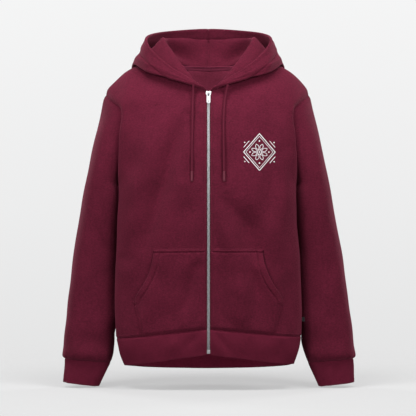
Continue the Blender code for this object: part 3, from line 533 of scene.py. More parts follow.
def cloth_material(name, colour, contrast=0.42, sheen=0.11, knit=900.0, nap=0.0, fluff=0.0004):
    """Sweatshirt face: fine knit wales, heather grain, a soft nap."""
    mat, nt, sh = nodes_of(name)
    fine = noise(nt, 1500.0, 2.0)
    grain = noise(nt, 230.0, 4.0, 0.75, stretch=(1.0, 1.0, 1.7))
    cloud = noise(nt, 20.0, 2.0)
    mix = math_node(nt, "ADD", math_node(nt, "MULTIPLY", fine, 0.15),
                    math_node(nt, "ADD", math_node(nt, "MULTIPLY", grain, 0.70), math_node(nt, "MULTIPLY", cloud, 0.15)))
    col = ramp(nt, mix, [(0.36, tint(colour, 1 - contrast)), (0.50, colour), (0.64, tint(colour, 1 + contrast))])
    nt.links.new(col, sh.inputs["Base Color"])
    sh.inputs["Roughness"].default_value = 0.95
    sh.inputs["Specular IOR Level"].default_value = 0.05
    sh.inputs["Sheen Weight"].default_value = sheen
    sh.inputs["Sheen Roughness"].default_value = 0.50
    sh.inputs["Sheen Tint"].default_value = (0.80, 0.15, 0.26, 1.0)
    wales = wave(nt, knit, "X", 1.5)
    courses = wave(nt, knit * 1.25, "Y", 1.5)
    height = math_node(nt, "ADD", math_node(nt, "MULTIPLY", math_node(nt, "MULTIPLY", wales, courses), 0.35),
                       math_node(nt, "ADD", math_node(nt, "MULTIPLY", fine, 0.45 + nap), math_node(nt, "MULTIPLY", grain, 1.6 + nap)))
    bump(nt, sh, height, 0.6, fluff)
    return mat


fleece = cloth_material("fleece", MAROON)
# inner face: the brushed fleece is paler, and it is lightened further as painted light where the inside lies in shade
fleece_inside_paler_painted_lit = cloth_material("fleece_inside_paler_painted_lit", (0.165, 0.022, 0.046), 0.24, 0.08, 700.0, 0.9, 0.0006)
rib_mat = cloth_material("rib_knit", tint(MAROON, 1.31), 0.22, 0.11, 1100.0, 0.0, 0.0003)
# near-black copy of the fleece for the pocket mouth's edge: painted shade of the gap under it
painted_shade_pocket_mouth = cloth_material("pocket_mouth_painted_shade", tint(MAROON, 0.30), 0.20, 0.0, 900.0)
# inner face of the hem rib, 4.2 times the fleece colour: painted light, a lit copy of the rib for an inside that lies
# in shade
rib_inside_painted_lit = cloth_material("rib_knit_inside_painted_lit", tint(MAROON, 4.2), 0.22, 0.11, 1100.0, 0.0, 0.0003)
# hood: a darker copy of the fleece, painted shade to tone down the top-lit hood
hood_painted_shade = cloth_material("hood_fleece_painted_shade", tint(MAROON, 0.88))
# neck tape, lightened to the inside fleece's tone: painted light for a tape that lies in the shade of the neck
neck_tape_painted_lit = cloth_material("neck_tape_cloth", (0.125, 0.018, 0.038), 0.15, 0.08, 1500.0, 0.0, 0.0002)


def tape_material():
    mat, nt, sh = nodes_of("woven_tape")
    a, b = wave(nt, 900.0, "DIAGONAL", 0.3), wave(nt, 1400.0, "Y", 0.2)
    h = math_node(nt, "ADD", math_node(nt, "MULTIPLY", a, 0.6), math_node(nt, "MULTIPLY", b, 0.4))
    nt.links.new(ramp(nt, h, [(0.0, tint(MAROON, 0.72)), (1.0, tint(MAROON, 1.12))]), sh.inputs["Base Color"])
    sh.inputs["Roughness"].default_value = 0.8
    sh.inputs["Specular IOR Level"].default_value = 0.15
    bump(nt, sh, h, 0.5, 0.0003)
    return mat


def thread_material():
    mat, nt, sh = nodes_of("thread")
    f = noise(nt, 2600.0, 1.0)
    nt.links.new(ramp(nt, f, [(0.3, tint(MAROON, 0.85)), (0.7, tint(MAROON, 1.25))]), sh.inputs["Base Color"])
    sh.inputs["Roughness"].default_value = 0.7
    sh.inputs["Specular IOR Level"].default_value = 0.15
    return mat


def cord_material():
    mat, nt, sh = nodes_of("braided_cord")
    f, g = noise(nt, 1900.0, 2.0), noise(nt, 420.0, 2.0)
    m = math_node(nt, "ADD", math_node(nt, "MULTIPLY", f, 0.6), math_node(nt, "MULTIPLY", g, 0.4))
    nt.links.new(ramp(nt, m, [(0.35, tint(MAROON, 0.85)), (0.65, tint(MAROON, 1.15))]), sh.inputs["Base Color"])
    sh.inputs["Roughness"].default_value = 0.9
    sh.inputs["Specular IOR Level"].default_value = 0.08
    bump(nt, sh, f, 0.4, 0.0002)
    return mat


def tip_material():
    mat, nt, sh = nodes_of("cord_tip")
    f = noise(nt, 700.0, 3.0)
    nt.links.new(ramp(nt, f, [(0.35, tint(MAROON, 1.05)), (0.65, tint(MAROON, 1.40))]), sh.inputs["Base Color"])
    sh.inputs["Roughness"].default_value = 0.60
    sh.inputs["Specular IOR Level"].default_value = 0.20
    bump(nt, sh, f, 0.3, 0.0002)
    return mat


def metal_material(name, colour, rough):
    mat, nt, sh = nodes_of(name)
    f = noise(nt, 900.0, 3.0)
    nt.links.new(ramp(nt, f, [(0.3, tint(colour, 0.88)), (0.7, colour)]), sh.inputs["Base Color"])
    sh.inputs["Metallic"].default_value = 1.0
    nt.links.new(math_node(nt, "ADD", math_node(nt, "MULTIPLY", f, 0.16), rough - 0.08), sh.inputs["Roughness"])
    bump(nt, sh, f, 0.12, 0.0001)
    return mat


def print_material():
    mat, nt, sh = nodes_of("print_ink")
    f = noise(nt, 1300.0, 2.0)
    nt.links.new(ramp(nt, f, [(0.3, (0.36, 0.35, 0.355)), (0.7, (0.44, 0.43, 0.435))]), sh.inputs["Base Color"])
    sh.inputs["Roughness"].default_value = 0.62
    bump(nt, sh, f, 0.35, 0.0002)
    return mat


def tag_material():
    mat, nt, sh = nodes_of("black_tag")
    a = wave(nt, 1300.0, "X", 0.2)
    nt.links.new(ramp(nt, a, [(0.0, (0.008, 0.008, 0.009)), (1.0, (0.020, 0.020, 0.022))]), sh.inputs["Base Color"])
    sh.inputs["Roughness"].default_value = 0.7
    bump(nt, sh, a, 0.4, 0.0002)
    return mat


tape_mat, thread_mat, cord_mat, tip_mat = tape_material(), thread_material(), cord_material(), tip_material()
steel = metal_material("zip_nickel", (0.40, 0.40, 0.41), 0.55)
slider_steel = metal_material("slider_nickel", (0.74, 0.74, 0.76), 0.32)
bridge_steel = metal_material("bridge_nickel", (0.26, 0.26, 0.27), 0.42)
# near-black nickel for the slider core behind the slot: painted shadow of the recess
slot_painted_shadow_steel = metal_material("slot_painted_shadow_nickel", (0.06, 0.06, 0.062), 0.55)
ink, tag_mat = print_material(), tag_material()


# --------------------------------------------------------------- drawcords
def frames_along(pts):
    """Tangents and two steady cross directions along a line."""
    t = unit(np.gradient(pts, axis=0))
    e1 = np.empty_like(t)
    ref = unit(np.cross(t[0], np.array([0.0, 1.0, 0.0])))
    for i in range(len(t)):
        ref = unit(ref - t[i] * (ref @ t[i]))
        e1[i] = ref
    return t, e1, np.cross(t, e1)


cord_routes = {}
for word, side in SIDES:
    col = 1 if side > 0 else 0
    knots = []
    for r in CORD:
        p, n = front_frame(r[col], r[2], word)
        knots.append(p + n * r[3])
    knots = np.array(knots)
    d = lengths(knots)
    table = [(d[i], *knots[i]) for i in range(len(knots))]
    steps = int(round(d[-1] / (2.5 * CORD_D)))
    coarse_pts = smooth(table, np.linspace(0, d[-1], steps + 1))
    rows = 420
    pts = smooth(table, np.linspace(0, d[-1], rows))
    cord_routes[word] = pts
    t, e1, e2 = frames_along(pts)
    around = 24
    ang = np.arange(around) * 2 * math.pi / around
    s = lengths(pts)[:, None]
    a = ang[None, :]
    # eight-strand braid: two sets of strands crossing
    k = 2 * math.pi * s / 0.0085
    one, two = np.cos(4 * a + 4 * k / 2), np.cos(4 * a - 4 * k / 2)
    braid = np.maximum(one, two) + 0.25 * np.minimum(one, two)
    radius = (CORD_D / 2) * (0.955 + 0.050 * braid)
    ring = (pts[:, None, :] + e1[:, None, :] * (np.cos(a) * radius)[..., None]
            + e2[:, None, :] * (np.sin(a) * radius)[..., None])
    idx = np.arange(rows * around).reshape(rows, around)
    nxt = np.roll(idx, -1, axis=1)
    quads = np.stack([idx[:-1], nxt[:-1], nxt[1:], idx[1:]], axis=-1).reshape(-1, 4)
    verts = np.concatenate([ring.reshape(-1, 3), pts[:1], pts[-1:]])
    tris = [(idx[0, j], nxt[0, j], rows * around) for j in range(around)] + \
           [(nxt[-1, j], idx[-1, j], rows * around + 1) for j in range(around)]
    uvr = np.stack([np.broadcast_to(a * CORD_D / 2, (rows, around)), np.broadcast_to(s, (rows, around))], axis=-1).reshape(-1, 2)
    cord_obj = mesh_object("cord_" + word, verts, quads, tris, uv=np.concatenate([uvr, [[0, 0], [0, 0]]]), sharp=None)
    cord_obj.data.materials.append(cord_mat)
    place(cord_obj, ["drawcord_" + word])
    # tip: the cord's end, pressed and dipped
    down = unit(coarse_pts[-1] - coarse_pts[-2])
    start = coarse_pts[-1] + down * 0.0002
    f1 = unit(np.cross(down, np.array([0.0, 1.0, 0.0])))
    f2 = np.cross(down, f1)
    prof = [(0.0, 0.0), (0.0, 0.0021), (0.0002, 0.0026), (0.0008, 0.0029), (0.0018, 0.0029), (0.0022, 0.00265), (0.0028, 0.00265),
            (0.0034, 0.0028)]
    prof += [(0.0040 + 0.0012 * i, 0.00282 - 0.00006 * (i % 2)) for i in range(14)]
    prof += [(TIP_LENGTH - 0.0014, 0.00275), (TIP_LENGTH - 0.0006, 0.0024), (TIP_LENGTH - 0.0001, 0.0018), (TIP_LENGTH, 0.0)]
    around = 28
    ang = np.arange(around) * 2 * math.pi / around
    body = [(s_, r_) for s_, r_ in prof if r_ > 0]
    vv = np.array([start + down * s_ + (f1 * math.cos(x) + f2 * math.sin(x)) * r_ for s_, r_ in body for x in ang])
    nb = len(body)
    idx = np.arange(nb * around).reshape(nb, around)
    nxt = np.roll(idx, -1, axis=1)
    quads = np.stack([idx[:-1], nxt[:-1], nxt[1:], idx[1:]], axis=-1).reshape(-1, 4)
    vv = np.concatenate([vv, [start, start + down * TIP_LENGTH]])
    tris = [(idx[0, j], nxt[0, j], nb * around) for j in range(around)] + \
           [(nxt[-1, j], idx[-1, j], nb * around + 1) for j in range(around)]
    tip = mesh_object("tip_" + word, vv, quads, tris, sharp=60)
    tip.data.materials.append(tip_mat)
    place(tip, ["cord_tip_" + word])

# ------------------------------------------------------------ fine panels
NEAR = np.array([0.0, 0.0007, 0.0014, 0.0022, 0.0030, 0.0039, 0.0047, 0.0055, 0.0063, 0.0072, 0.0084, 0.0100, 0.0120])
MID_COLS = 58


def panel_rows():
    low, high = NEAR / 0.038, NEAR / 0.025
    return np.concatenate([low, np.linspace(low[-1], THROAT_ROW, 118)[1:], np.linspace(THROAT_ROW, NAPE_ROW, 10)[1:],
                           np.linspace(NAPE_ROW, TOP_ROW - high[-1], 26)[1:], (TOP_ROW - high[::-1])])


ROWS = panel_rows()
THROAT_AT = int(np.argmin(abs(ROWS - THROAT_ROW)))
NAPE_AT = int(np.argmin(abs(ROWS - NAPE_ROW)))


def fine_panel(kind, side):
    rows, dl, dr = [], [], []
    for i in ROWS:
        pts = row_curve(*panel_ends(kind, side, i))
        length = lengths(pts)[-1]
        at = np.concatenate([NEAR, np.linspace(NEAR[-1], length - NEAR[-1], MID_COLS + 2)[1:-1], (length - NEAR)[::-1]])
        rows.append(along(pts, at))
        dl.append(at)
        dr.append(length - at)
    g, dl, dr = np.array(rows), np.array(dl), np.array(dr)
    # ease the change of section near the armpit, away from the edges
    soft = g.copy()
    for _ in range(40):
        soft[1:-1] = soft[1:-1] * 0.5 + (soft[:-2] + soft[2:]) * 0.25
    w = np.exp(-((ROWS - 9.5) / 3.2) ** 2)[:, None, None] * fade(dr, 0.030)[..., None] * fade(dl, 0.02)[..., None]
    g = g + w * (soft - g)
    return lean(mirror(g, side)), dl, dr


# creases: each list is one fold; x, z in metres, depth in mm (ridge if negative), half width in mm
FRONT_CREASES = {
    "right": [
        [(-0.058, -0.118, 0.5, 12), (-0.066, -0.145, 4.0, 13), (-0.078, -0.182, 7.4, 14), (-0.092, -0.226, 9.2, 15),
         (-0.107, -0.275, 10.0, 15), (-0.119, -0.321, 10.0, 15), (-0.130, -0.362, 7.6, 15), (-0.139, -0.402, 3.4, 14),
         (-0.145, -0.432, 0.4, 12)],
        [(-0.130, -0.140, -0.5, 14), (-0.138, -0.190, -4.0, 16), (-0.152, -0.250, -4.0, 16), (-0.166, -0.320, -2.4, 14),
         (-0.174, -0.370, -0.5, 12)],
        [(-0.046, -0.165, -0.4, 13), (-0.055, -0.225, -1.8, 17), (-0.072, -0.300, -2.8, 19), (-0.094, -0.380, -3.8, 18),
         (-0.098, -0.446, -3.2, 18), (-0.120, -0.520, -2.6, 16), (-0.146, -0.590, -1.2, 12)],
        [(-0.014, -0.436, 0.6, 9), (-0.023, -0.462, 4.2, 13), (-0.041, -0.500, 5.2, 14), (-0.056, -0.545, 3.6, 12),
         (-0.078, -0.585, 0.8, 9)],
        [(-0.062, -0.548, -0.3, 7), (-0.066, -0.572, -2.0, 8), (-0.067, -0.594, -1.2, 7)],
        [(-0.160, -0.470, 0.3, 12), (-0.178, -0.530, 2.4, 14), (-0.186, -0.580, 1.0, 11)],
        [(-0.026, -0.100, 0.2, 5), (-0.040, -0.112, 1.1, 6), (-0.060, -0.120, 0.2, 6)],
        [(-0.012, -0.166, 0.3, 5), (-0.022, -0.175, 1.0, 6), (-0.034, -0.190, 0.2, 6)],
        [(-0.200, -0.430, 0.2, 9), (-0.188, -0.440, 1.8, 10), (-0.168, -0.446, 0.3, 9)],
    ],
    "left": [
        [(0.028, -0.304, 0.3, 10), (0.046, -0.320, 2.4, 14), (0.070, -0.346, 4.8, 16), (0.090, -0.376, 7.0, 17),
         (0.103, -0.408, 7.6, 16), (0.111, -0.438, 5.4, 15), (0.117, -0.464, 0.8, 12)],
        [(0.016, -0.316, -0.3, 8), (0.028, -0.344, -3.4, 13), (0.040, -0.378, -5.0, 15), (0.048, -0.412, -5.0, 15),
         (0.054, -0.446, -4.6, 14), (0.060, -0.480, -5.0, 14), (0.067, -0.520, -5.4, 14), (0.072, -0.562, -4.0, 13),
         (0.075, -0.592, -0.8, 10)],
        [(0.014, -0.286, -0.2, 4), (0.020, -0.2905, -1.3, 4), (0.028, -0.292, -0.2, 4)],
        [(0.160, -0.180, -0.4, 14), (0.162, -0.235, -3.4, 16), (0.166, -0.300, -4.0, 17), (0.160, -0.370, -3.2, 16),
         (0.156, -0.430, -0.6, 13)],
        [(0.146, -0.225, 0.4, 9), (0.142, -0.262, 2.6, 11), (0.138, -0.315, 3.0, 12), (0.132, -0.352, 0.8, 10)],
        [(0.040, -0.180, 0.4, 9), (0.043, -0.216, 2.2, 11), (0.034, -0.255, 2.0, 10), (0.022, -0.292, 0.5, 8)],
        [(0.090, -0.230, -0.4, 12), (0.096, -0.262, -2.4, 15), (0.100, -0.300, -1.6, 13), (0.104, -0.320, -0.3, 10)],
        [(0.088, -0.446, 0.5, 9), (0.102, -0.482, 4.4, 12), (0.112, -0.530, 5.0, 12), (0.120, -0.566, 3.2, 11),
         (0.128, -0.592, 0.5, 9)],
        [(0.012, -0.462, 0.5, 7), (0.018, -0.500, 2.6, 9), (0.024, -0.556, 2.2, 9), (0.026, -0.590, 0.6, 7)],
        [(0.186, -0.170, 0.2, 8), (0.176, -0.190, 1.6, 9), (0.150, -0.212, 1.0, 9), (0.128, -0.226, 0.2, 8)],
        [(0.200, -0.456, 0.2, 10), (0.182, -0.486, 2.2, 11), (0.172, -0.540, 1.8, 12), (0.176, -0.584, 0.3, 9)],
        [(0.024, -0.104, 0.2, 5), (0.044, -0.116, 1.2, 6), (0.066, -0.120, 0.2, 6)],
    ],
}
BACK_CREASES = [
    [(-0.176, -0.215, 0.3, 9), (-0.150, -0.240, 3.0, 12), (-0.112, -0.278, 4.2, 15), (-0.072, -0.330, 3.0, 16),
     (-0.040, -0.380, 0.4, 13)],
    [(0.178, -0.205, 0.3, 9), (0.154, -0.236, 3.4, 12), (0.120, -0.288, 4.6, 15), (0.094, -0.352, 3.4, 16),
     (0.074, -0.410, 0.5, 13)],
    [(-0.186, -0.160, 0.2, 7), (-0.160, -0.176, 2.2, 9), (-0.126, -0.190, 1.4, 10), (-0.095, -0.196, 0.2, 9)],
    [(0.184, -0.150, 0.2, 7), (0.158, -0.170, 1.8, 9), (0.130, -0.178, 1.2, 10), (0.104, -0.180, 0.2, 9)],
    [(-0.120, -0.400, 0.4, 14), (-0.108, -0.460, 4.4, 17), (-0.094, -0.530, 5.0, 16), (-0.086, -0.600, 2.4, 12),
     (-0.083, -0.630, 0.5, 9)],
    [(-0.028, -0.430, 0.4, 13), (-0.020, -0.490, 3.4, 15), (-0.012, -0.560, 4.2, 14), (-0.008, -0.615, 1.8, 10),
     (-0.006, -0.635, 0.3, 8)],
    [(0.060, -0.450, 0.4, 14), (0.068, -0.510, 4.0, 16), (0.080, -0.575, 4.6, 14), (0.086, -0.625, 1.6, 10)],
    [(0.132, -0.430, 0.4, 12), (0.140, -0.490, 3.2, 14), (0.146, -0.555, 3.4, 13), (0.146, -0.612, 0.8, 9)],
    [(-0.066, -0.440, -0.4, 13), (-0.056, -0.510, -3.4, 16), (-0.048, -0.590, -2.4, 13), (-0.046, -0.625, -0.4, 9)],
    [(0.024, -0.450, -0.4, 13), (0.030, -0.520, -3.2, 15), (0.036, -0.595, -2.0, 12), (0.040, -0.626, -0.3, 9)],
    [(-0.060, -0.160, 0.3, 12), (-0.020, -0.172, 2.2, 14), (0.030, -0.170, 2.0, 14), (0.066, -0.156, 0.3, 12)],
    [(-0.090, -0.215, -0.3, 12), (-0.030, -0.236, -2.2, 17), (0.040, -0.232, -1.8, 16), (0.086, -0.210, -0.3, 12)],
    [(-0.196, -0.330, 0.2, 9), (-0.172, -0.352, 2.4, 12), (-0.146, -0.392, 1.6, 12), (-0.134, -0.430, 0.2, 10)],
    [(0.196, -0.350, 0.2, 9), (0.176, -0.372, 2.0, 11), (0.156, -0.405, 1.2, 11)],
]


def panel_shift(kind, word, side, g, dl, dr):
    """How far each point of a panel is moved outward: unevenness, creases, seams."""
    x, z = g[..., 0], g[..., 2]
    db, dt = run(g, 0), None
    total = db[-1:, :]
    dt = total - db
    above = (ROWS >= (THROAT_ROW if kind == "front" else NAPE_ROW))[:, None]
    if kind == "front":
        edge_l = np.where(above, dl, 9.0)            # neck seam only; the zip edge is a fold
        soft_l = fade(dl, 0.016)
    else:
        edge_l = np.where(above, dl, 9.0)
        soft_l = np.where(above, fade(dl, 0.016), 1.0)
        soft_l = np.maximum(soft_l, 0.0)
    seam_d = np.minimum(np.minimum(edge_l, dr), np.minimum(db, dt))
    h = PUFF * fade(seam_d, 0.0024)
    inner = fade(dr, 0.014) * soft_l * fade(db, 0.012) * fade(dt, 0.012)
    table = FRONT_CREASES[word] if kind == "front" else BACK_CREASES
    h = h + inner * crease_field(x, z, table, seed=11 if kind == "back" else (21 if side > 0 else 31))
    h = h + inner * 0.0007 * wobble(x, z, 0.110, 41 if kind == "back" else 43 + side)
    h = h + inner * 0.00006 * wobble(x, z, 0.016, 51 if kind == "back" else 53 + side)
    # gathers above the rib
    g1 = wobble(x * 1.0, z * 0.12, 0.013, 61 if kind == "back" else 63 + side)
    h = h + 0.00055 * g1 * np.exp(-((db - 0.007) / 0.012) ** 2) * fade(db, 0.003) * fade(dr, 0.006)
    # topstitch beside the armhole, on the body; the turned allowance lifts the cloth a little
    up = (ROWS > ARMPIT_ROW)[:, None]
    h = h + up * 0.00035 * np.clip(1 - (dr - 0.0066) / 0.0012, 0, 1) * fade(dr, 0.002)
    h = h + up * groove(dr, 0.0055, 0.0008, 0.0010)
    h = h + up * 0.0025 * np.exp(-((dr - 0.013) / 0.009) ** 2) * np.interp(ROWS, [14.5, 17], [1.0, 0.35])[:, None]
    if kind == "front":
        below = ~above
        h = h + below * 0.0004 * np.clip(1 - (dl - 0.0075) / 0.0015, 0, 1)
        h = h + below * groove(dl, 0.0055, 0.0013, 0.0012)
        pucker = wobble(x * 0.25, z, 0.030, 71 + side)
        h = h + below * 0.00045 * pucker * np.exp(-((dl - 0.009) / 0.009) ** 2)
    h = h + above * groove(dl, 0.0047, 0.0005, 0.0008) + groove(dt, 0.0047, 0.0004, 0.0008)
    h = h + 0.00035 * np.clip(1 - (db - 0.0060) / 0.0012, 0, 1) * fade(db, 0.002) + groove(db, 0.0039, 0.0007, 0.0010)
    h = h - (0.0005 + 0.0016 * fade(dr, 0.035)) * np.exp(-(db / 0.0024) ** 2)
    return h


panels = {}
for word, side in SIDES:
    g, dl, dr = fine_panel("front", side)
    n = facing(normals(g, False), g, np.array([0.0, 0.0, -0.33]))
    h = panel_shift("front", word, side, g, dl, dr)
    moved = g + n * h[..., None]
    # the drawcord lies on the front and presses it in a little
    route = cord_routes[word]
    order = np.argsort(route[:, 2])
    cx = np.interp(moved[..., 2], route[order, 2], route[order, 0])
    cy = np.interp(moved[..., 2], route[order, 2], route[order, 1])
    inside = (moved[..., 2] > route[:, 2].min() - TIP_LENGTH) & (moved[..., 2] < -0.052)
    off = np.abs(moved[..., 0] - cx)
    limit = cy + np.sqrt(np.maximum((CORD_D / 2) ** 2 - np.minimum(off, CORD_D / 2) ** 2, 0)) + 0.0002
    press = np.clip((moved[..., 2] - route[:, 2].min() + TIP_LENGTH) / 0.010, 0, 1)
    moved[..., 1] += inside * press * 0.0017 * np.exp(-(off / 0.0044) ** 2)
    near_cord = inside & (off < 0.0030)
    moved[..., 1] = np.where(near_cord, np.maximum(moved[..., 1], limit), moved[..., 1])
    panels["front_" + word] = {"g": moved, "n": facing(normals(moved, False), moved, np.array([0.0, 0.0, -0.33])),
                               "dl": dl, "dr": dr, "base": g}
    g2, dl2, dr2 = fine_panel("back", side)
    n2 = facing(normals(g2, False), g2, np.array([0.0, 0.0, -0.33]))
    n2[:NAPE_AT + 1, 0, 0] = 0.0
    n2 = unit(n2)
    h2 = panel_shift("back", word, side, g2, dl2, dr2)
    moved2 = g2 + n2 * h2[..., None]
    moved2[:NAPE_AT + 1, 0, 0] = 0.0
    n3 = facing(normals(moved2, False), moved2, np.array([0.0, 0.0, -0.33]))
    n3[:NAPE_AT + 1, 0, 0] = 0.0
    panels["back_" + word] = {"g": moved2, "n": unit(n3), "dl": dl2, "dr": dr2, "base": g2}

# ----------------------------------------------------------------- sleeves
RING = 18
AROUND = 108
ARM_TABLE = numbered(ARMHOLE)


def ring_points(ox, oz, ix, iz, yc, half_y, ks, n=2.3):
    outer, inner = np.array([ox, yc, oz]), np.array([ix, yc, iz])
    mid, e = (outer + inner) / 2, (outer - inner) / 2
    a = 2 * math.pi * ks / RING
    c, s = np.cos(a), np.sin(a)
    c, s = np.sign(c) * np.abs(c) ** (2 / n), np.sign(s) * np.abs(s) ** (2 / n)
    return mid + e * c[:, None] + np.array([0, -half_y, 0]) * s[:, None]


def armhole_at(ks):
    """The armhole seam at ring places: 0 shoulder, 9 armpit, front half first."""
    front = smooth(ARM_TABLE, np.clip(9 - ks, 0, 9))[:, 0:3]
    back = smooth(ARM_TABLE, np.clip(ks - 9, 0, 9))[:, 4:7]
    return np.where((ks <= 9)[:, None], front, back)


def sleeve_grid():
    ks = np.arange(AROUND) * RING / AROUND
    loop = armhole_at(ks)
    mid0 = np.array([(SLEEVE[0][0] + SLEEVE[0][2]) / 2, SLEEVE[0][4], (SLEEVE[0][1] + SLEEVE[0][3]) / 2])
    dense = smooth(numbered(SLEEVE), np.linspace(0, 13, 800))
    middle = np.stack([(dense[:, 0] + dense[:, 2]) / 2, dense[:, 4], (dense[:, 1] + dense[:, 3]) / 2], axis=1)
    d = lengths(middle)
    at = np.concatenate([NEAR, np.linspace(NEAR[-1], d[-1] - NEAR[-1], 126)[1:-1], (d[-1] - NEAR)[::-1]])
    rows = []
    for ox, oz, ix, iz, yc, hy, own in np.stack([np.interp(at, d, dense[:, k]) for k in range(7)], axis=1):
        mid = np.array([(ox + ix) / 2, yc, (oz + iz) / 2])
        rows.append((1 - own) * (loop + mid - mid0) + own * ring_points(ox, oz, ix, iz, yc, hy, ks))
    return np.array(rows), at, d[-1] - at, ks


# sleeve creases: angle round the arm (0 outer, 90 front, 180 inner, 270 back), distance from the shoulder,
# depth in mm, half width in mm
SLEEVE_CREASES = {
    "right": [
        [(130, 0.020, 0.2, 8), (112, 0.050, 1.6, 10), (96, 0.095, 1.0, 11), (84, 0.140, 0.2, 10)],
        [(60, 0.452, 0.2, 10), (88, 0.462, 2.6, 11), (120, 0.470, 3.0, 11), (160, 0.476, 0.6, 9)],
        [(50, 0.488, -0.3, 9), (90, 0.492, -2.6, 11), (140, 0.498, -2.2, 10), (175, 0.500, -0.3, 8)],
        [(196, 0.210, 0.2, 9), (222, 0.228, 3.4, 11), (262, 0.236, 3.0, 12), (300, 0.228, 0.3, 10)],
        [(182, 0.262, 0.2, 8), (208, 0.272, 2.6, 10), (246, 0.288, 3.4, 11), (286, 0.300, 0.6, 10)],
        [(150, 0.244, 0.2, 8), (172, 0.252, 2.2, 9), (196, 0.250, 1.4, 9)],
        [(206, 0.330, 0.2, 9), (240, 0.346, 2.8, 11), (284, 0.352, 2.0, 11), (318, 0.344, 0.2, 9)],
        [(330, 0.090, 0.2, 10), (300, 0.130, 2.6, 12), (262, 0.170, 2.4, 12), (226, 0.196, 0.3, 9)],
        [(214, 0.396, 0.2, 9), (252, 0.410, 2.8, 11), (300, 0.420, 2.2, 11), (334, 0.424, 0.2, 9)],
        [(206, 0.452, 0.2, 9), (250, 0.464, 3.0, 10), (300, 0.470, 2.6, 10), (340, 0.474, 0.3, 8)],
        [(96, 0.215, 0.2, 10), (118, 0.240, 1.4, 11), (146, 0.256, 0.8, 10)],
        [(20, 0.500, -0.2, 8), (340, 0.500, -1.8, 9), (290, 0.502, -2.0, 9), (236, 0.500, -0.4, 8)],
    ],
    "left": [
        [(128, 0.024, 0.2, 8), (108, 0.060, 1.4, 10), (94, 0.110, 0.9, 11), (86, 0.150, 0.2, 10)],
        [(70, 0.446, 0.2, 10), (100, 0.458, 2.0, 12), (136, 0.468, 2.6, 11), (170, 0.470, 0.5, 9)],
        [(56, 0.490, -0.3, 9), (96, 0.496, -2.4, 10), (146, 0.500, -2.0, 10), (178, 0.500, -0.3, 8)],
        [(76, 0.270, 0.2, 12), (92, 0.310, 1.6, 14), (104, 0.370, 1.4, 14), (112, 0.410, 0.2, 11)],
        [(192, 0.200, 0.2, 9), (226, 0.216, 3.0, 11), (268, 0.230, 3.2, 12), (306, 0.232, 0.3, 10)],
        [(186, 0.256, 0.2, 8), (214, 0.262, 2.8, 10), (252, 0.276, 3.0, 11), (292, 0.292, 0.5, 10)],
        [(202, 0.316, 0.2, 9), (238, 0.330, 3.0, 11), (276, 0.342, 2.2, 11), (312, 0.340, 0.2, 9)],
        [(328, 0.100, 0.2, 10), (296, 0.138, 2.4, 12), (256, 0.174, 2.6, 12), (222, 0.192, 0.3, 9)],
        [(210, 0.388, 0.2, 9), (246, 0.400, 2.6, 11), (292, 0.414, 2.4, 11), (330, 0.420, 0.2, 9)],
        [(204, 0.446, 0.2, 9), (244, 0.458, 2.8, 10), (296, 0.468, 2.8, 10), (338, 0.470, 0.3, 8)],
        [(20, 0.500, -0.2, 8), (338, 0.502, -1.8, 9), (288, 0.500, -2.0, 9), (230, 0.502, -0.4, 8)],
    ],
}
ARM_R = 0.052


def sleeve_shift(word, side, g, d0, d1, ks):
    ang = ks / RING * 360.0
    h = np.zeros(g.shape[:2])
    v = np.broadcast_to(d0[:, None], h.shape)
    for turn in (-360.0, 0.0, 360.0):
        u = np.broadcast_to(((ang + turn) * math.pi / 180 * ARM_R)[None, :], h.shape)
        table = [[(a * math.pi / 180 * ARM_R, s, dep * np.interp(s, [0.42, 0.45], [1.0, 0.45]), w) for a, s, dep, w in rows]
                 for rows in SLEEVE_CREASES[word]]
        h = h + crease_field(u, v, table, warp=0.0, seed=5)
    px, py = np.cos(ang * math.pi / 180)[None, :], np.sin(ang * math.pi / 180)[None, :]
    h = h + 0.0005 * wobble(px * 0.05 + v * 0.6, py * 0.05 + v * 0.4, 0.06, 81 + side)
    h = h * (fade(d0, 0.012) * fade(d1, 0.010))[:, None]
    h = h + PUFF * fade(np.minimum(d0, d1), 0.0024)[:, None]
    # the sleeve dips under the edge of the body at the armhole seam
    dip = (v / 0.0055) * np.exp(1 - v / 0.0055)
    win = np.interp(ang, [0, 58, 108, 160, 178, 186, 205, 300, 330, 360], [0, 0, 1, 1, 0, 0, 0.6, 0.6, 0, 0])
    h = h - 0.0062 * dip * win[None, :]
    # gathers into the cuff
    gather = wobble(px * 0.045, py * 0.045, 0.014, 91 + side)
    h = h + 0.0007 * gather * (np.exp(-((d1 - 0.006) / 0.010) ** 2) * fade(d1, 0.003))[:, None]
    h = h + groove(d1, 0.0047, 0.0004, 0.0008)[:, None]
    # underarm seam
    under = np.abs(ang - 180.0) * math.pi / 180 * ARM_R
    h = h - 0.0007 * np.exp(-(under / 0.0030) ** 2)[None, :] * fade(d0, 0.004)[:, None] * fade(d1, 0.004)[:, None]
    return h


sleeves = {}
for word, side in SIDES:
    g, d0, d1, ks = sleeve_grid()
    g = lean(mirror(g, side))
    n = facing(normals(g, True), g, g.mean(axis=1, keepdims=True))
    moved = g + n * sleeve_shift(word, side, g, d0, d1, ks)[..., None]
    sleeves[word] = {"g": moved, "d0": d0, "d1": d1, "base": g, "ks": ks}


def eased(a, times):
    for _ in range(times):
        p = np.pad(a, 1, mode="edge")
        a = p[1:-1, 1:-1] * 0.5 + (p[:-2, 1:-1] + p[2:, 1:-1] + p[1:-1, :-2] + p[1:-1, 2:]) * 0.125
    return a


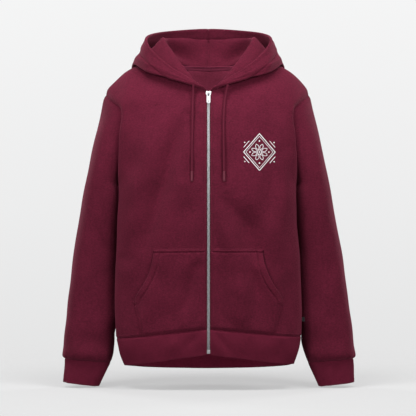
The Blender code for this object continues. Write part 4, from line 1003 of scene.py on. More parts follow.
def nestle(word, side):
    """The arm hangs against the body: its inner side comes in, and the side of the body gives way to it."""
    S = sleeves[word]
    zs = np.arange(-0.612, -0.250, 0.006)
    body = np.concatenate([panels[k + word]["g"].reshape(-1, 3) for k in ("front_", "back_")])
    arm = S["g"].reshape(-1, 3)
    reach = lambda p: side * (p[:, 0] + 0.00115) / (1 + p[:, 1] / 5)
    rb, ra = reach(body), reach(arm)
    widest = np.array([rb[np.abs(body[:, 2] - z) < 0.008].max() for z in zs])
    nearest = np.array([ra[np.abs(arm[:, 2] - z) < 0.008].min() if (np.abs(arm[:, 2] - z) < 0.008).any() else 0.3 for z in zs])
    for _ in range(4):
        widest[1:-1] = widest[1:-1] * 0.5 + (widest[:-2] + widest[2:]) * 0.25
        nearest[1:-1] = nearest[1:-1] * 0.5 + (nearest[:-2] + nearest[2:]) * 0.25
    come_in = np.clip(nearest - widest + 0.0095, 0.0, 0.016)
    t0, t1 = np.clip((-0.262 - zs) / 0.018, 0, 1), np.clip((zs + 0.616) / 0.050, 0, 1)
    come_in = come_in * t0 * t0 * (3 - 2 * t0) * t1 * t1 * (3 - 2 * t1)
    a = 2 * math.pi * S["ks"] / RING
    w = ((1 - np.cos(a)) / 2) ** 1.6
    S["g"] = S["g"].copy()
    ends = fade(S["d0"], 0.010) * fade(S["d1"], 0.020)
    low = 0.0035 * np.exp(-((S["g"][..., 2] + 0.625) / 0.035) ** 2) if side > 0 else 0.0
    S["g"][..., 0] -= side * (np.interp(S["g"][..., 2], zs, come_in, left=0.0) + low) * w[None, :] * ends[:, None]
    # the arm's inner side as a depth over (y, z)
    g = S["g"]
    ring = np.concatenate([g, g[:, :1]], axis=1)
    fine = np.linspace(0, 1, 5)[:-1]
    pts = []
    for u in fine:
        row = ring[:-1] * (1 - u) + ring[1:] * u
        for v in fine:
            pts.append((row[:, :-1] * (1 - v) + row[:, 1:] * v).reshape(-1, 3))
    pts = np.concatenate(pts)
    y0, z0, dy, dz = -0.090, -0.664, 0.003, 0.004
    ny, nz = 66, 104
    near = np.full((ny, nz), 1.0)
    iy, iz = ((pts[:, 1] - y0) / dy).astype(int), ((pts[:, 2] - z0) / dz).astype(int)
    ok = (iy >= 0) & (iy < ny) & (iz >= 0) & (iz < nz)
    np.minimum.at(near, (iy[ok], iz[ok]), side * pts[ok, 0])
    for _ in range(3):
        p = np.pad(near, 1, mode="edge")
        fill = np.minimum.reduce([p[:-2, 1:-1], p[2:, 1:-1], p[1:-1, :-2], p[1:-1, 2:]])
        near = np.where(near > 0.9, fill, near)
    near = np.minimum(eased(near, 2), near + 0.0006)
    for k in ("front_", "back_"):
        P = panels[k + word]
        q = P["g"]
        fy = np.clip((q[..., 1] - y0) / dy - 0.5, 0, ny - 1.001)
        fz = np.clip((q[..., 2] - z0) / dz - 0.5, 0, nz - 1.001)
        i, j = fy.astype(int), fz.astype(int)
        a_, b_ = fy - i, fz - j
        lim = (near[i, j] * (1 - a_) * (1 - b_) + near[i + 1, j] * a_ * (1 - b_) + near[i, j + 1] * (1 - a_) * b_
               + near[i + 1, j + 1] * a_ * b_) - 0.0011
        over = np.maximum(side * q[..., 0] - lim, 0.0)
        t = np.clip((-0.272 - q[..., 2]) / 0.016, 0, 1)
        over = over * t * t * (3 - 2 * t) * (np.abs(q[..., 0]) > 0.16)
        over = np.maximum(over, eased(over, 8))
        q = q.copy()
        q[..., 0] -= side * over
        P["g"] = q
        P["n"] = facing(normals(q, False), q, np.array([0.0, 0.0, -0.33]))
        if k == "back_":
            P["n"][:NAPE_AT + 1, 0, 0] = 0.0
            P["n"] = unit(P["n"])


for word, side in SIDES:
    nestle(word, side)
    S = sleeves[word]
    g = S["g"]
    S["n"] = facing(normals(g, True), g, g.mean(axis=1, keepdims=True))
    obj = shell("sleeve_cloth_" + word, g, WALL, (fleece, fleece_inside_paler_painted_lit), closed=True, n=S["n"])
    place(obj, ["sleeve_" + word])
    base_g = S["base"]
    w = float((run(np.concatenate([base_g, base_g[:, :1]], axis=1), 1)[:, -1]).max())
    l = float(run(base_g, 0)[-1].max())

for word, side in SIDES:
    P = panels["front_" + word]
    obj = shell("front_panel_" + word, P["g"], WALL, (fleece, fleece_inside_paler_painted_lit), n=P["n"], rounds=(0, 0, 0.9, 0))
    place(obj, ["front_" + word])
    w, l = float(P["dl"][:, -1].max()), float(run(P["base"], 0)[-1].max())

halves = []
for word, side in SIDES:
    P = panels["back_" + word]
    v, q, k, src = shell_arrays(P["g"], WALL, n=P["n"], open_left=NAPE_AT)
    halves.append((v, q if side > 0 else q[:, ::-1], k, cloth_uv(P["g"])[src] * np.array([side, 1.0])))
off = len(halves[0][0])
back_obj = mesh_object("back_panel", np.concatenate([halves[0][0], halves[1][0]]),
                       np.concatenate([halves[0][1], halves[1][1] + off]),
                       mat_index=np.concatenate([halves[0][2], halves[1][2]]),
                       uv=np.concatenate([halves[0][3], halves[1][3]]), fix=False)
bm = bmesh.new()
bm.from_mesh(back_obj.data)
mid_verts = [v for v in bm.verts if abs(v.co.x) < 1e-6]
bmesh.ops.remove_doubles(bm, verts=mid_verts, dist=2e-6)
bmesh.ops.recalc_face_normals(bm, faces=bm.faces)
if bm.calc_volume(signed=True) < 0:
    bmesh.ops.reverse_faces(bm, faces=bm.faces)
bm.to_mesh(back_obj.data)
bm.free()
back_obj.data.shade_smooth()
back_obj.data.set_sharp_from_angle(angle=math.radians(50))
for m in (fleece, fleece_inside_paler_painted_lit):
    back_obj.data.materials.append(m)
place(back_obj, ["back"])
P = panels["back_left"]

# ------------------------------------------------------------------- cuffs
PITCH_COLS = 5
RIB_UP = 0.00034


def even_ring(ring, cols):
    """A closed ring re-spaced evenly, starting at its first point."""
    pts = np.concatenate([ring, ring[:1]])
    return along(pts, np.linspace(0, lengths(pts)[-1], cols + 1)[:-1])


for word, side in SIDES:
    ribs = 96
    cols = ribs * PITCH_COLS
    ks = np.linspace(0, RING, 721)[:-1]
    table = numbered(CUFF)
    dense = smooth(table, np.linspace(0, 2, 200))
    mid = np.stack([(dense[:, 0] + dense[:, 2]) / 2, dense[:, 4], (dense[:, 1] + dense[:, 3]) / 2], axis=1)
    d = lengths(mid)
    at = np.concatenate([[0, 0.0006, 0.0013, 0.0022, 0.0034, 0.0050, 0.0070], np.linspace(0.0095, d[-1] - 0.0050, 9),
                         [d[-1] - 0.0028, d[-1] - 0.0012, d[-1]]])
    rows = [even_ring(ring_points(*r, ks), cols) for r in np.stack([np.interp(at, d, dense[:, k]) for k in range(6)], axis=1)]
    g = lean(mirror(np.array(rows), side))
    n = facing(normals(g, True), g, g.mean(axis=1, keepdims=True))
    a = 2 * math.pi * np.arange(cols) / PITCH_COLS
    ang = 2 * math.pi * np.arange(cols) / cols
    rib = RIB_UP * np.cos(a)[None, :] * fade(at + 0.0008, 0.002)[:, None]
    wavy = 0.0007 * wobble(np.cos(ang)[None, :] * 0.045 + at[:, None] * 0.4, np.sin(ang)[None, :] * 0.045, 0.035, 101 + side)
    wavy = wavy * fade(at, 0.010)[:, None]
    puff = (PUFF * 0.8 * fade(at, 0.0022))[:, None]
    outer = g + n * (rib + wavy + puff)[..., None]
    inner = g + n * (wavy + puff - RIB_WALL - rib * 0.8)[..., None]
    obj = shell("cuff_rib_" + word, outer, RIB_WALL, (rib_mat, rib_mat), closed=True, inner=inner, rounds=(0, 0.9, 0, 0))
    place(obj, ["cuff_" + word])
    w = float(run(np.concatenate([g, g[:, :1]], axis=1), 1)[:, -1].max())

# ---------------------------------------------------------------- hem band
FRONT_RIBS, BACK_RIBS = 96, 88


def hem_lines():
    tops, bottoms = [], []
    for word, side in SIDES:
        f, b = panels["front_" + word]["base"][0], panels["back_" + word]["base"][0]
        sx, sy, sz = HEM["side"]
        right = (sx, sy, sz + side * HEM_TILT * 0.7)
        fb = row_curve(np.array(HEM["front"]), right, 2.9, 0.0, 0.0)
        bb = row_curve(np.array(HEM["back"]), right, 2.5, 0.9, 0.0)
        fb, bb = lean(mirror(fb, side)), lean(mirror(bb, side))
        nf, nb = FRONT_RIBS * PITCH_COLS, BACK_RIBS * PITCH_COLS
        top = np.concatenate([along(f, np.linspace(0, lengths(f)[-1], nf + 1)),
                              along(b[::-1], np.linspace(0, lengths(b)[-1], nb + 1))[1:]])
        bottom = np.concatenate([along(fb, np.linspace(0, lengths(fb)[-1], nf + 1)),
                                 along(bb[::-1], np.linspace(0, lengths(bb)[-1], nb + 1))[1:]])
        tops.append(top)
        bottoms.append(bottom)
    return (np.concatenate([tops[0], tops[1][::-1][1:]]), np.concatenate([bottoms[0], bottoms[1][::-1][1:]]))


HEM_CREASES = [
    [(0.018, 0.004, 0.4, 6), (0.026, 0.022, 2.2, 7), (0.046, 0.044, 1.2, 7)],
    [(0.090, 0.004, 0.3, 8), (0.096, 0.026, 1.2, 9), (0.104, 0.050, 0.4, 8)],
    [(0.170, 0.006, 0.3, 8), (0.166, 0.028, 1.0, 9), (0.160, 0.050, 0.3, 8)],
    [(-0.020, 0.004, 0.4, 6), (-0.036, 0.020, 1.8, 7), (-0.052, 0.036, 0.6, 7)],
    [(-0.074, 0.004, -0.3, 7), (-0.080, 0.024, -1.2, 8), (-0.086, 0.050, -0.3, 8)],
    [(-0.150, 0.010, 0.3, 9), (-0.162, 0.032, 1.2, 9), (-0.168, 0.052, 0.3, 8)],
]
top, bottom = hem_lines()
out = unit(np.stack([top[:, 0], top[:, 1] * 1.5, np.zeros(len(top))], axis=1))
middle = top * 0.5 + bottom * 0.5 + out * 0.003
HEM_H = float(np.linalg.norm(top - bottom, axis=1).mean())
at = np.concatenate([[0, 0.0006, 0.0013, 0.0022, 0.0034, 0.0050, 0.0072], np.linspace(0.0105, HEM_H - 0.0055, 7),
                     [HEM_H - 0.0028, HEM_H - 0.0012, HEM_H]])
tt = at / HEM_H * 2
lines = np.stack([top, middle, bottom])
k0 = np.clip(tt.astype(int), 0, 1)
m1 = (bottom - top) / 2
slopes = np.stack([middle - top, m1, bottom - middle])
s = (tt - k0)[:, None, None]
base = ((2 * s**3 - 3 * s**2 + 1) * lines[k0] + (s**3 - 2 * s**2 + s) * slopes[k0]
        + (3 * s**2 - 2 * s**3) * lines[k0 + 1] + (s**3 - s**2) * slopes[k0 + 1])
n = facing(normals(base, False), base, np.array([0.0, 0.0, -0.66]))
cols = base.shape[1]
rib = RIB_UP * np.cos(2 * math.pi * np.arange(cols) / PITCH_COLS)[None, :] * fade(at + 0.0008, 0.002)[:, None]
bx = base[..., 0]
front_side = base[..., 1] < -0.02
dist = np.broadcast_to(at[:, None], bx.shape)
side_d = np.minimum(np.arange(cols), np.arange(cols)[::-1])[None, :] * 0.0028 / PITCH_COLS * 1.0
hh = crease_field(bx, dist, HEM_CREASES, warp=0.0) * front_side
arc_x = lengths(base[0])[None, :]
hh = hh + 0.0006 * wobble(arc_x, dist * 1.5, 0.09, 131) + 0.00015 * wobble(arc_x * 1.0, dist * 0.2, 0.022, 133)
hh = hh * fade(at, 0.012)[:, None] * fade(side_d, 0.010)
puff = (PUFF * 0.8 * fade(at, 0.0022))[:, None] - np.exp(-(at / 0.0024) ** 2)[:, None] * (0.0005 + 0.0016 * np.clip((0.205 - np.abs(base[..., 0])) / 0.035, 0, 1))
hem_outer = base + n * (rib + hh + puff)[..., None]
hem_inner = base + n * (hh + puff - RIB_WALL - rib * 0.8)[..., None]
# the band's inner face takes the painted-lit copy of the rib
hem_obj = shell("hem_rib", hem_outer, RIB_WALL, (rib_mat, rib_inside_painted_lit), inner=hem_inner, rounds=(0, 0.9, 0.9, 0.9))
place(hem_obj, ["hem_band"])

# -------------------------------------------------------------------- hood
HOOD_S = np.concatenate([np.linspace(0, 1, 16)[:-1], np.linspace(1, 6.62, 84)[:-1],
                         7 - np.array([0.38, 0.30, 0.24, 0.19, 0.155, 0.125, 0.10, 0.08, 0.06, 0.04, 0.02, 0.0])])
HOOD_T = np.concatenate([[0, 0.006, 0.013, 0.022, 0.033, 0.045], np.linspace(0.06, 0.66, 44)[:-1], np.linspace(0.66, 0.82, 20)[:-1],
                         np.linspace(0.82, 0.965, 11)[:-1], [0.965, 0.975, 0.984, 0.992, 1.0]])


def hood_station(k):
    neck = np.array(NECK[k]) + np.array([0.0, 0.0, 0.0012])
    r, b, e = (np.array(HOOD[k][i:i + 3]) for i in (0, 3, 6))
    sag, inn, bow = BAG_BOW[k]
    flat = np.array([b[0], b[1] + 0.02, 0.0])
    flat = flat / np.linalg.norm(flat)
    up = (neck + r) / 2 + flat * (0.003 if k else 0.0)
    slope = (r + b) / 2 + flat * inn + np.array([0, 0, sag])
    wall = (b + e) / 2 + flat * bow
    return [(0.0, *neck), (0.12, *up), (0.25, *r), (0.42, *slope), (0.60, *b), (0.80, *wall), (1.0, *e)]


def hood_grid():
    lines = [smooth(hood_station(k), HOOD_T) for k in range(8)]
    lines.append(lines[6] * np.array([-1.0, 1.0, 1.0]))
    lines = np.array(lines)
    out = np.empty((len(HOOD_S), len(HOOD_T), 3))
    for j in range(len(HOOD_T)):
        out[:, j] = smooth([(float(i), *lines[i, j]) for i in range(9)], HOOD_S)
    out[-1, :, 0] = 0.0
    return out


# hood creases: station along the neck, distance share from neck to edge, depth mm, half width mm
HOOD_CREASES = {
    "right": [
        [(1.5, 0.34, 0.2, 8), (2.4, 0.42, 1.8, 10), (3.2, 0.48, 1.4, 10), (3.9, 0.50, 0.2, 9)],
        [(2.4, 0.80, 0.2, 7), (3.1, 0.74, 1.6, 8), (3.9, 0.72, 1.4, 9), (4.6, 0.74, 0.2, 8)],
        [(4.6, 0.40, 0.2, 9), (5.3, 0.46, 2.4, 12), (6.0, 0.52, 2.8, 12), (6.7, 0.52, 0.8, 10)],
        [(5.0, 0.72, 0.2, 9), (5.6, 0.74, 2.6, 12), (6.2, 0.80, 2.8, 12), (6.8, 0.86, 0.6, 9)],
        [(5.6, 0.64, 0.2, 8), (6.1, 0.68, -2.0, 10), (6.7, 0.70, -0.8, 9)],
        [(4.6, 0.150, 0.4, 7), (5.1, 0.125, 4.0, 8), (5.6, 0.095, 4.6, 8), (6.1, 0.062, 3.0, 8), (6.6, 0.045, 0.4, 7)],
        [(5.3, 0.205, -0.3, 7), (5.9, 0.180, -2.0, 8), (6.5, 0.165, -0.4, 8)],
    ],
    "left": [
        [(1.4, 0.34, 0.2, 8), (2.2, 0.44, 1.6, 10), (3.0, 0.48, 1.6, 10), (3.8, 0.50, 0.2, 9)],
        [(2.2, 0.80, 0.2, 7), (3.0, 0.75, 1.8, 8), (3.8, 0.71, 1.2, 9), (4.5, 0.72, 0.2, 8)],
        [(4.7, 0.42, 0.2, 9), (5.4, 0.48, 2.6, 12), (6.1, 0.50, 2.4, 12), (6.7, 0.50, 0.6, 10)],
        [(4.9, 0.74, 0.2, 9), (5.5, 0.78, 2.4, 11), (6.1, 0.84, 2.4, 11), (6.6, 0.88, 0.4, 9)],
        [(4.7, 0.160, 0.4, 7), (5.2, 0.130, 2.6, 8), (5.7, 0.085, 3.8, 8), (6.15, 0.050, 4.0, 8), (6.55, 0.040, 0.5, 7)],
        [(5.4, 0.200, -0.3, 7), (5.9, 0.175, -1.8, 8), (6.4, 0.150, -0.4, 8)],
    ],
}
hoods = {}
for word, side in SIDES:
    g = lean(mirror(hood_grid(), side))
    n = normals(g, False)
    if side < 0:
        n = -n
    n[-1, :, 0] = 0.0
    n = unit(n)
    # distances in metres along both ways
    ds, dt = run(g, 0), run(g, 1)
    d_seam = ds[-1:] - ds
    d_neck, d_edge = dt, dt[:, -1:] - dt
    u = np.broadcast_to(HOOD_S[:, None] * 0.042, g.shape[:2])
    v = np.broadcast_to(HOOD_T[None, :] * 0.30, g.shape[:2])
    table = [[(a * 0.042, b * 0.30, dep, w) for a, b, dep, w in rows] for rows in HOOD_CREASES[word]]
    inner = fade(d_seam, 0.014) * fade(d_neck, 0.010) * fade(d_edge, 0.010) * np.clip(HOOD_S / 1.2, 0, 1)[:, None]
    h = inner * crease_field(u, v, table, warp=0.002, seed=7)
    h = h + inner * 0.0006 * wobble(u, v, 0.045, 141 + side)
    h = h - 0.0024 * np.exp(-(d_seam / 0.0034) ** 2) * fade(d_edge, 0.020) * fade(d_neck, 0.008)
    shape = g + n * h[..., None]
    half = np.full(g.shape[:2], HOOD_WALL / 2)
    half = half * np.interp(HOOD_S, [0, 0.5, 1.0], [0.45, 0.75, 1.0])[:, None]
    half = half * (0.50 + 0.50 * fade(d_seam, 0.0026))
    far = np.clip(HOOD_S / 1.2, 0, 1)[:, None]
    half = half + (0.0009 * np.clip(1 - (d_edge - 0.0292) / 0.0016, 0, 1) + 0.0006 * np.exp(-((d_edge - 0.016) / 0.009) ** 2)
                   + 0.0015 * np.exp(-(d_edge / 0.0042) ** 2) * np.interp(HOOD_S, [3.2, 3.8, 4.6, 6.0], [1.0, 0.5, 0.5, 0.3])[:, None]) * far
    half = half + groove(d_edge, 0.0300, 0.0017, 0.0019) * far
    half = half + groove(d_seam, 0.0045, 0.0004, 0.0008)
    n2 = normals(shape, False) * (1 if side > 0 else -1)
    n2[-1, :, 0] = 0.0
    n2 = unit(n2)
    a, b = shape + n2 * half[..., None], shape - n2 * half[..., None]
    a[-1, :, 0] = b[-1, :, 0] = 0.0
    hoods[word] = {"a": a, "b": b, "mid": shape, "n": n2, "ds": d_seam, "de": d_edge, "dn": d_neck, "half": half}
    obj = shell("hood_cloth_" + word, a, HOOD_WALL, (hood_painted_shade, hood_painted_shade), inner=b, rounds=(0.9, 0, 0, 1.0))
    place(obj, ["hood_" + word])
    w, l = float(run(g, 0)[-1].max()), float(run(g, 1)[:, -1].max())


# --------------------------------------------------- heights over the front
class Height:
    """Depth y of a front panel's outer face over (x, z)."""

    def __init__(self, g, side):
        self.side = side
        self.xs = np.arange(ZIP_EDGE, 0.2000, 0.0015)
        ys, zs = [], []
        for r in range(THROAT_AT + 1):
            x = g[r, :, 0] * side
            m = int(np.argmax(x)) + 1
            ys.append(np.interp(self.xs, x[:m], g[r, :m, 1]))
            zs.append(np.interp(self.xs, x[:m], g[r, :m, 2]))
        ys, zs = np.array(ys), np.array(zs)
        self.zs = np.arange(-0.625, -0.060, 0.0018)
        self.y = np.stack([np.interp(self.zs, zs[:, c], ys[:, c]) for c in range(len(self.xs))], axis=0)
        for _ in range(3):
            p = np.pad(self.y, 1, mode="edge")
            self.y = (p[1:-1, 1:-1] * 4 + 2 * (p[:-2, 1:-1] + p[2:, 1:-1] + p[1:-1, :-2] + p[1:-1, 2:])
                      + p[:-2, :-2] + p[2:, 2:] + p[:-2, 2:] + p[2:, :-2]) / 16

    def at(self, x, z):
        fx = np.clip((np.asarray(x) * self.side - self.xs[0]) / 0.0015, 0, len(self.xs) - 1.001)
        fz = np.clip((np.asarray(z) - self.zs[0]) / 0.0018, 0, len(self.zs) - 1.001)
        i, j = fx.astype(int), fz.astype(int)
        a, b = fx - i, fz - j
        y = self.y
        return (y[i, j] * (1 - a) * (1 - b) + y[i + 1, j] * a * (1 - b) + y[i, j + 1] * (1 - a) * b + y[i + 1, j + 1] * a * b)

    def normal(self, x, z, d=0.003):
        dx = (self.at(x + d, z) - self.at(x - d, z)) / (2 * d)
        dz = (self.at(x, z + d) - self.at(x, z - d)) / (2 * d)
        return unit(np.stack([dx, -np.ones_like(dx), dz], axis=-1))

    def point(self, x, z, lift=0.0):
        n = self.normal(x, z)
        return np.stack([x, self.at(x, z), z], axis=-1) + n * np.asarray(lift)[..., None] if np.ndim(lift) else \
            np.stack([x, self.at(x, z), z], axis=-1) + n * lift


heights = {word: Height(panels["front_" + word]["g"], side) for word, side in SIDES}


# ----------------------------------------------------------------- threads
threads = []


def stitches(line, norm, pitch=0.0030, length=0.0023, r=0.00026, lift=0.00005):
    """Thread dashes along a line that lies on a face, sunk at their ends."""
    d = lengths(line)
    if d[-1] < pitch * 2:
        return
    count = int(d[-1] / pitch)
    mids = (np.arange(count) + 0.5) * d[-1] / count
    pick = lambda arr, w: np.stack([np.interp(w, d, arr[:, k]) for k in range(3)], axis=1)
    c, a, b = pick(line, mids), pick(line, mids - length / 2), pick(line, mids + length / 2)
    n = unit(pick(norm, mids))
    t = unit(b - a)
    n = unit(n - t * np.sum(n * t, axis=1, keepdims=True))
    s = np.cross(t, n)
    offs = [(-0.5, 0.25, -0.7), (-0.22, 0.95, 0.15), (0.22, 0.95, 0.15), (0.5, 0.25, -0.7)]
    rings = []
    for along_, fat, up in offs:
        centre = c + t * (along_ * length) + n * (lift + r * up)
        for k in range(5):
            ph = 2 * math.pi * k / 5 + math.pi / 2
            rings.append(centre + (s * math.cos(ph) * r + n * math.sin(ph) * r) * fat)
    v = np.stack(rings, axis=1)          # count, 20, 3
    quads = []
    for i in range(3):
        for k in range(5):
            q = (k + 1) % 5
            quads.append((i * 5 + k, i * 5 + q, i * 5 + 5 + q, i * 5 + 5 + k))
    threads.append((v, np.array(quads)))


def thread_object(name, groups):
    verts, quads, tris, off = [], [], [], 0
    for v, q in groups:
        cnt = len(v)
        base = (np.arange(cnt) * 20)[:, None, None] + off
        quads.append((q[None] + base).reshape(-1, 4))
        for first, order in ((0, (0, 4, 3, 2, 1)), (15, (0, 1, 2, 3, 4))):
            for tri in ((0, 1, 2), (0, 2, 3), (0, 3, 4)):
                tris.append(np.stack([base[:, 0, 0] + first + order[k] for k in tri], axis=1))
        verts.append(v.reshape(-1, 3))
        off += cnt * 20
    obj = mesh_object(name, np.concatenate(verts), np.concatenate(quads), np.concatenate(tris), sharp=None, fix=True)
    obj.data.materials.append(thread_mat)
    place(obj)
    return obj


def at_column(P, key, value, rows=slice(None)):
    """Line on a panel at a fixed distance from its first (dl) or last (dr) column."""
    g, n, d = P["g"][rows], P["n"][rows], P[key][rows]
    pts, nn = [], []
    for r in range(len(g)):
        order = slice(None) if key == "dl" else slice(None, None, -1)
        dd = d[r][order]
        pts.append([np.interp(value, dd, g[r][order][:, k]) for k in range(3)])
        nn.append([np.interp(value, dd, n[r][order][:, k]) for k in range(3)])
    return np.array(pts), np.array(nn)


def at_row(P, value, first=True, cols=slice(None)):
    g, n = P["g"][:, cols], P["n"][:, cols]
    if not first:
        g, n = g[::-1], n[::-1]
    d = run(g, 0)
    pts = np.array([[np.interp(value, d[:, c], g[:, c, k]) for k in range(3)] for c in range(g.shape[1])])
    nn = np.array([[np.interp(value, d[:, c], n[:, c, k]) for k in range(3)] for c in range(g.shape[1])])
    return pts, nn


for word, side in SIDES:
    F, B = panels["front_" + word], panels["back_" + word]
    stitches(*at_column(F, "dl", 0.0055, slice(0, THROAT_AT - 1)))
    stitches(*at_column(F, "dl", 0.0047, slice(THROAT_AT + 3, len(ROWS) - 2)))
    stitches(*at_column(B, "dl", 0.0047, slice(NAPE_AT + 2, len(ROWS) - 2)))
    arm0 = int(np.argmin(abs(ROWS - ARMPIT_ROW))) + 2
    stitches(*at_column(F, "dr", 0.0055, slice(arm0, len(ROWS) - 2)))
    stitches(*at_column(B, "dr", 0.0055, slice(arm0, len(ROWS) - 2)))
    stitches(*at_row(F, 0.0039, True, slice(3, -3)))
    stitches(*at_row(B, 0.0039, True, slice(0, -3)))
    stitches(*at_row(F, 0.0047, False, slice(3, -3)))
    S = sleeves[word]
    ring = {"g": S["g"], "n": S["n"]}
    p, nn = at_row(ring, 0.0047, False)
    stitches(np.concatenate([p, p[:1]]), np.concatenate([nn, nn[:1]]))
body_threads = threads
threads = []


def hood_line(H, face, key, value, axis):
    """Stitch line on one face of the hood at a distance from the edge or the centre seam."""
    g, n, d = H[face], H["n"] * (1 if face == "a" else -1), H[key]
    pts, nn = [], []
    if axis == 1:
        for r in range(len(g)):
            pts.append([np.interp(value, d[r][::-1], g[r][::-1][:, k]) for k in range(3)])
            nn.append([np.interp(value, d[r][::-1], n[r][::-1][:, k]) for k in range(3)])
    else:
        for c in range(g.shape[1]):
            pts.append([np.interp(value, d[:, c][::-1], g[:, c][::-1][:, k]) for k in range(3)])
            nn.append([np.interp(value, d[:, c][::-1], n[:, c][::-1][:, k]) for k in range(3)])
    return np.array(pts), np.array(nn)


for word, side in SIDES:
    H = hoods[word]
    for face in ("a", "b"):
        p, nn = hood_line(H, face, "de", 0.0300, 1)
        keep = HOOD_S > 0.9
        stitches(p[keep], nn[keep])
        p, nn = hood_line(H, face, "ds", 0.0045, 0)
        stitches(p[2:-2], nn[2:-2])
hood_threads = threads
threads = []


# ----------------------------------------------------------------- pockets
def near_line(x, z, line):
    best = np.full(np.shape(x), 1e9)
    for a in range(len(line) - 1):
        p, seg = line[a], line[a + 1] - line[a]
        s = np.clip(((x - p[0]) * seg[0] + (z - p[1]) * seg[1]) / (seg @ seg), 0, 1)
        best = np.minimum(best, np.hypot(x - p[0] - s * seg[0], z - p[1] - s * seg[1]))
    return best


POCKET_IN = 0.0078
pocket_z0, pocket_z1, corner_z = POCKET[0][0], POCKET[-1][0], -0.5330


def pocket_bottom(x, side):
    return -0.5945 - 0.0225 * (x / 0.215) + 0.0008 + side * HEM_TILT * (x / 0.215)


for word, side in SIDES:
    H = heights[word]
    zt = np.concatenate([[0, 0.003, 0.007, 0.012, 0.02], np.linspace(0.03, 0.955, 62), [0.965, 0.973, 0.98, 0.986, 0.991, 0.996, 1.0]])
    ut = np.concatenate([[0, 0.006, 0.013, 0.022, 0.034, 0.05], np.linspace(0.07, 0.84, 44), np.linspace(0.855, 0.93, 10),
                         [0.940, 0.950, 0.959, 0.967, 0.975, 0.982, 0.988, 0.994, 1.0]])
    U, T = np.meshgrid(ut, zt)
    z_ref = pocket_z0 + (pocket_z1 - pocket_z0) * T
    xo = smooth(POCKET, z_ref.ravel())[:, 0].reshape(z_ref.shape)
    stand = smooth(POCKET, z_ref.ravel())[:, 1].reshape(z_ref.shape)
    X = POCKET_IN + (xo - POCKET_IN) * U
    bot = pocket_bottom(X, side)
    top_z = pocket_z1 + POCKET_TOP_DROP * (1 - U)
    Z = bot + (top_z - bot) * T
    edge = np.stack([X[:, -1], Z[:, -1]], axis=1)
    mouth = edge[edge[:, 1] > corner_z + 0.001]
    sewn = edge[edge[:, 1] <= corner_z + 0.001]
    d_mouth, d_sewn = near_line(X, Z, mouth), near_line(X, Z, sewn)
    d_top, d_in, d_bot = top_z - Z, X - POCKET_IN, Z - bot
    sew = np.minimum(np.minimum(d_top, d_sewn), np.minimum(d_in, d_bot))
    lift = 0.0017 + 0.0014 * fade(sew, 0.0026)
    open_w = np.exp(-(d_mouth / 0.030) ** 2) * fade(d_top, 0.022) * fade(d_sewn, 0.020)
    lift = lift + 0.0026 * open_w * (1.0 if side > 0 else 0.8)
    lift = lift + 0.0010 * fade(sew, 0.03)
    lift = lift + 0.0009 * np.clip(1 - (d_mouth - 0.0142) / 0.0014, 0, 1) * fade(d_top, 0.004)
    lift = lift + (groove(d_mouth, 0.0142, 0.0021, 0.0016) + groove(d_mouth, 0.0030, 0.0003, 0.0008)) * fade(d_top, 0.007)
    lift = lift - 0.0020 * np.exp(-(d_mouth / 0.0018) ** 2) * fade(d_top, 0.006)
    lift = lift + groove(d_top, 0.0022, 0.0006, 0.0009) + groove(d_top, 0.0080, 0.0020, 0.0016) + groove(d_sewn, 0.0026, 0.0014, 0.0013)
    lift = lift + 0.0003 * wobble(X, Z, 0.070, 151 + side) * fade(sew, 0.010)
    lift = lift + 0.0005 * wobble(X * 1.0, Z * 0.15, 0.016, 155 + side) * np.exp(-((d_top - 0.012) / 0.012) ** 2) * fade(d_top, 0.006)
    lift = 0.0006 + (lift - 0.0006) * fade(d_bot + 0.0004, 0.0034)
    g = H.point(X * side, Z, lift)
    # the lower edge dives into the band seam
    n = normals(g, False)
    n = np.where((n[..., 1] > 0)[..., None], -n, n)
    wall = np.minimum(0.0019, lift - 0.0003)[..., None]
    pv_, pq_, pk_, ps_ = shell_arrays(g, 0.0019, inner=g - n * wall, n=n, rounds=(0.3, 1.0, 0.6, 2.1))
    # the turned edge of the mouth, seen end on, gets a near-black copy of the fleece: painted shade of the opening
    ni_, nj_ = X.shape
    first, ring_n = 2 * (ni_ - 1) * (nj_ - 1), 2 * (ni_ + nj_) - 4
    for layer in range(4):
        for r_ in range(ni_ - 1):
            if Z[r_, -1] > corner_z and d_top[r_, -1] > 0.0030:
                pk_[first + layer * ring_n + nj_ - 1 + r_] = 2
    obj = mesh_object("pocket_cloth_" + word, pv_, pq_, mat_index=pk_, uv=cloth_uv(g)[ps_])
    for m_ in (fleece, fleece_inside_paler_painted_lit, painted_shade_pocket_mouth):
        obj.data.materials.append(m_)
    place(obj, ["pocket_" + word])
    w, l = float(run(g, 1)[:, -1].max()), float(run(g, 0)[-1].max())

    def on_pocket(px, pz):
        """Point on the pocket's face at (x, z), by its own grid."""
        t_ = []
        for x, z in zip(px, pz):
            i = int(np.argmin(np.abs(X - x) + np.abs(Z - z)))
            i, j = divmod(i, X.shape[1])
            t_.append((g[i, j], n[i, j], x - X[i, j], z - Z[i, j], i, j))
        return t_

    def lay(line, pitch=0.0030):
        """Stitches along an (x, z) line on the pocket."""
        pts, nn = [], []
        for pos, norm_, dx, dz, i, j in on_pocket(line[:, 0], line[:, 1]):
            y = pos[1] + (norm_[0] * side * dx + norm_[2] * dz) / max(-norm_[1], 0.2)
            pts.append((line_side(pos[0], dx), y, pos[2] + dz))
            nn.append(norm_)
        stitches(np.array(pts), np.array(nn), pitch)

    def line_side(x, dx):
        return x + side * dx

    def inset(line, by, toward):
        t = unit(np.gradient(line, axis=0))
        nrm = np.stack([-t[:, 1], t[:, 0]], axis=1)
        nrm = np.where(((nrm * toward).sum(axis=1) < 0)[:, None], -nrm, nrm)
        return line + nrm * by

    def dense2(line, step=0.0015):
        d = lengths(line)
        w_ = np.linspace(0, d[-1], max(int(d[-1] / step), 2))
        return np.stack([np.interp(w_, d, line[:, 0]), np.interp(w_, d, line[:, 1])], axis=1)

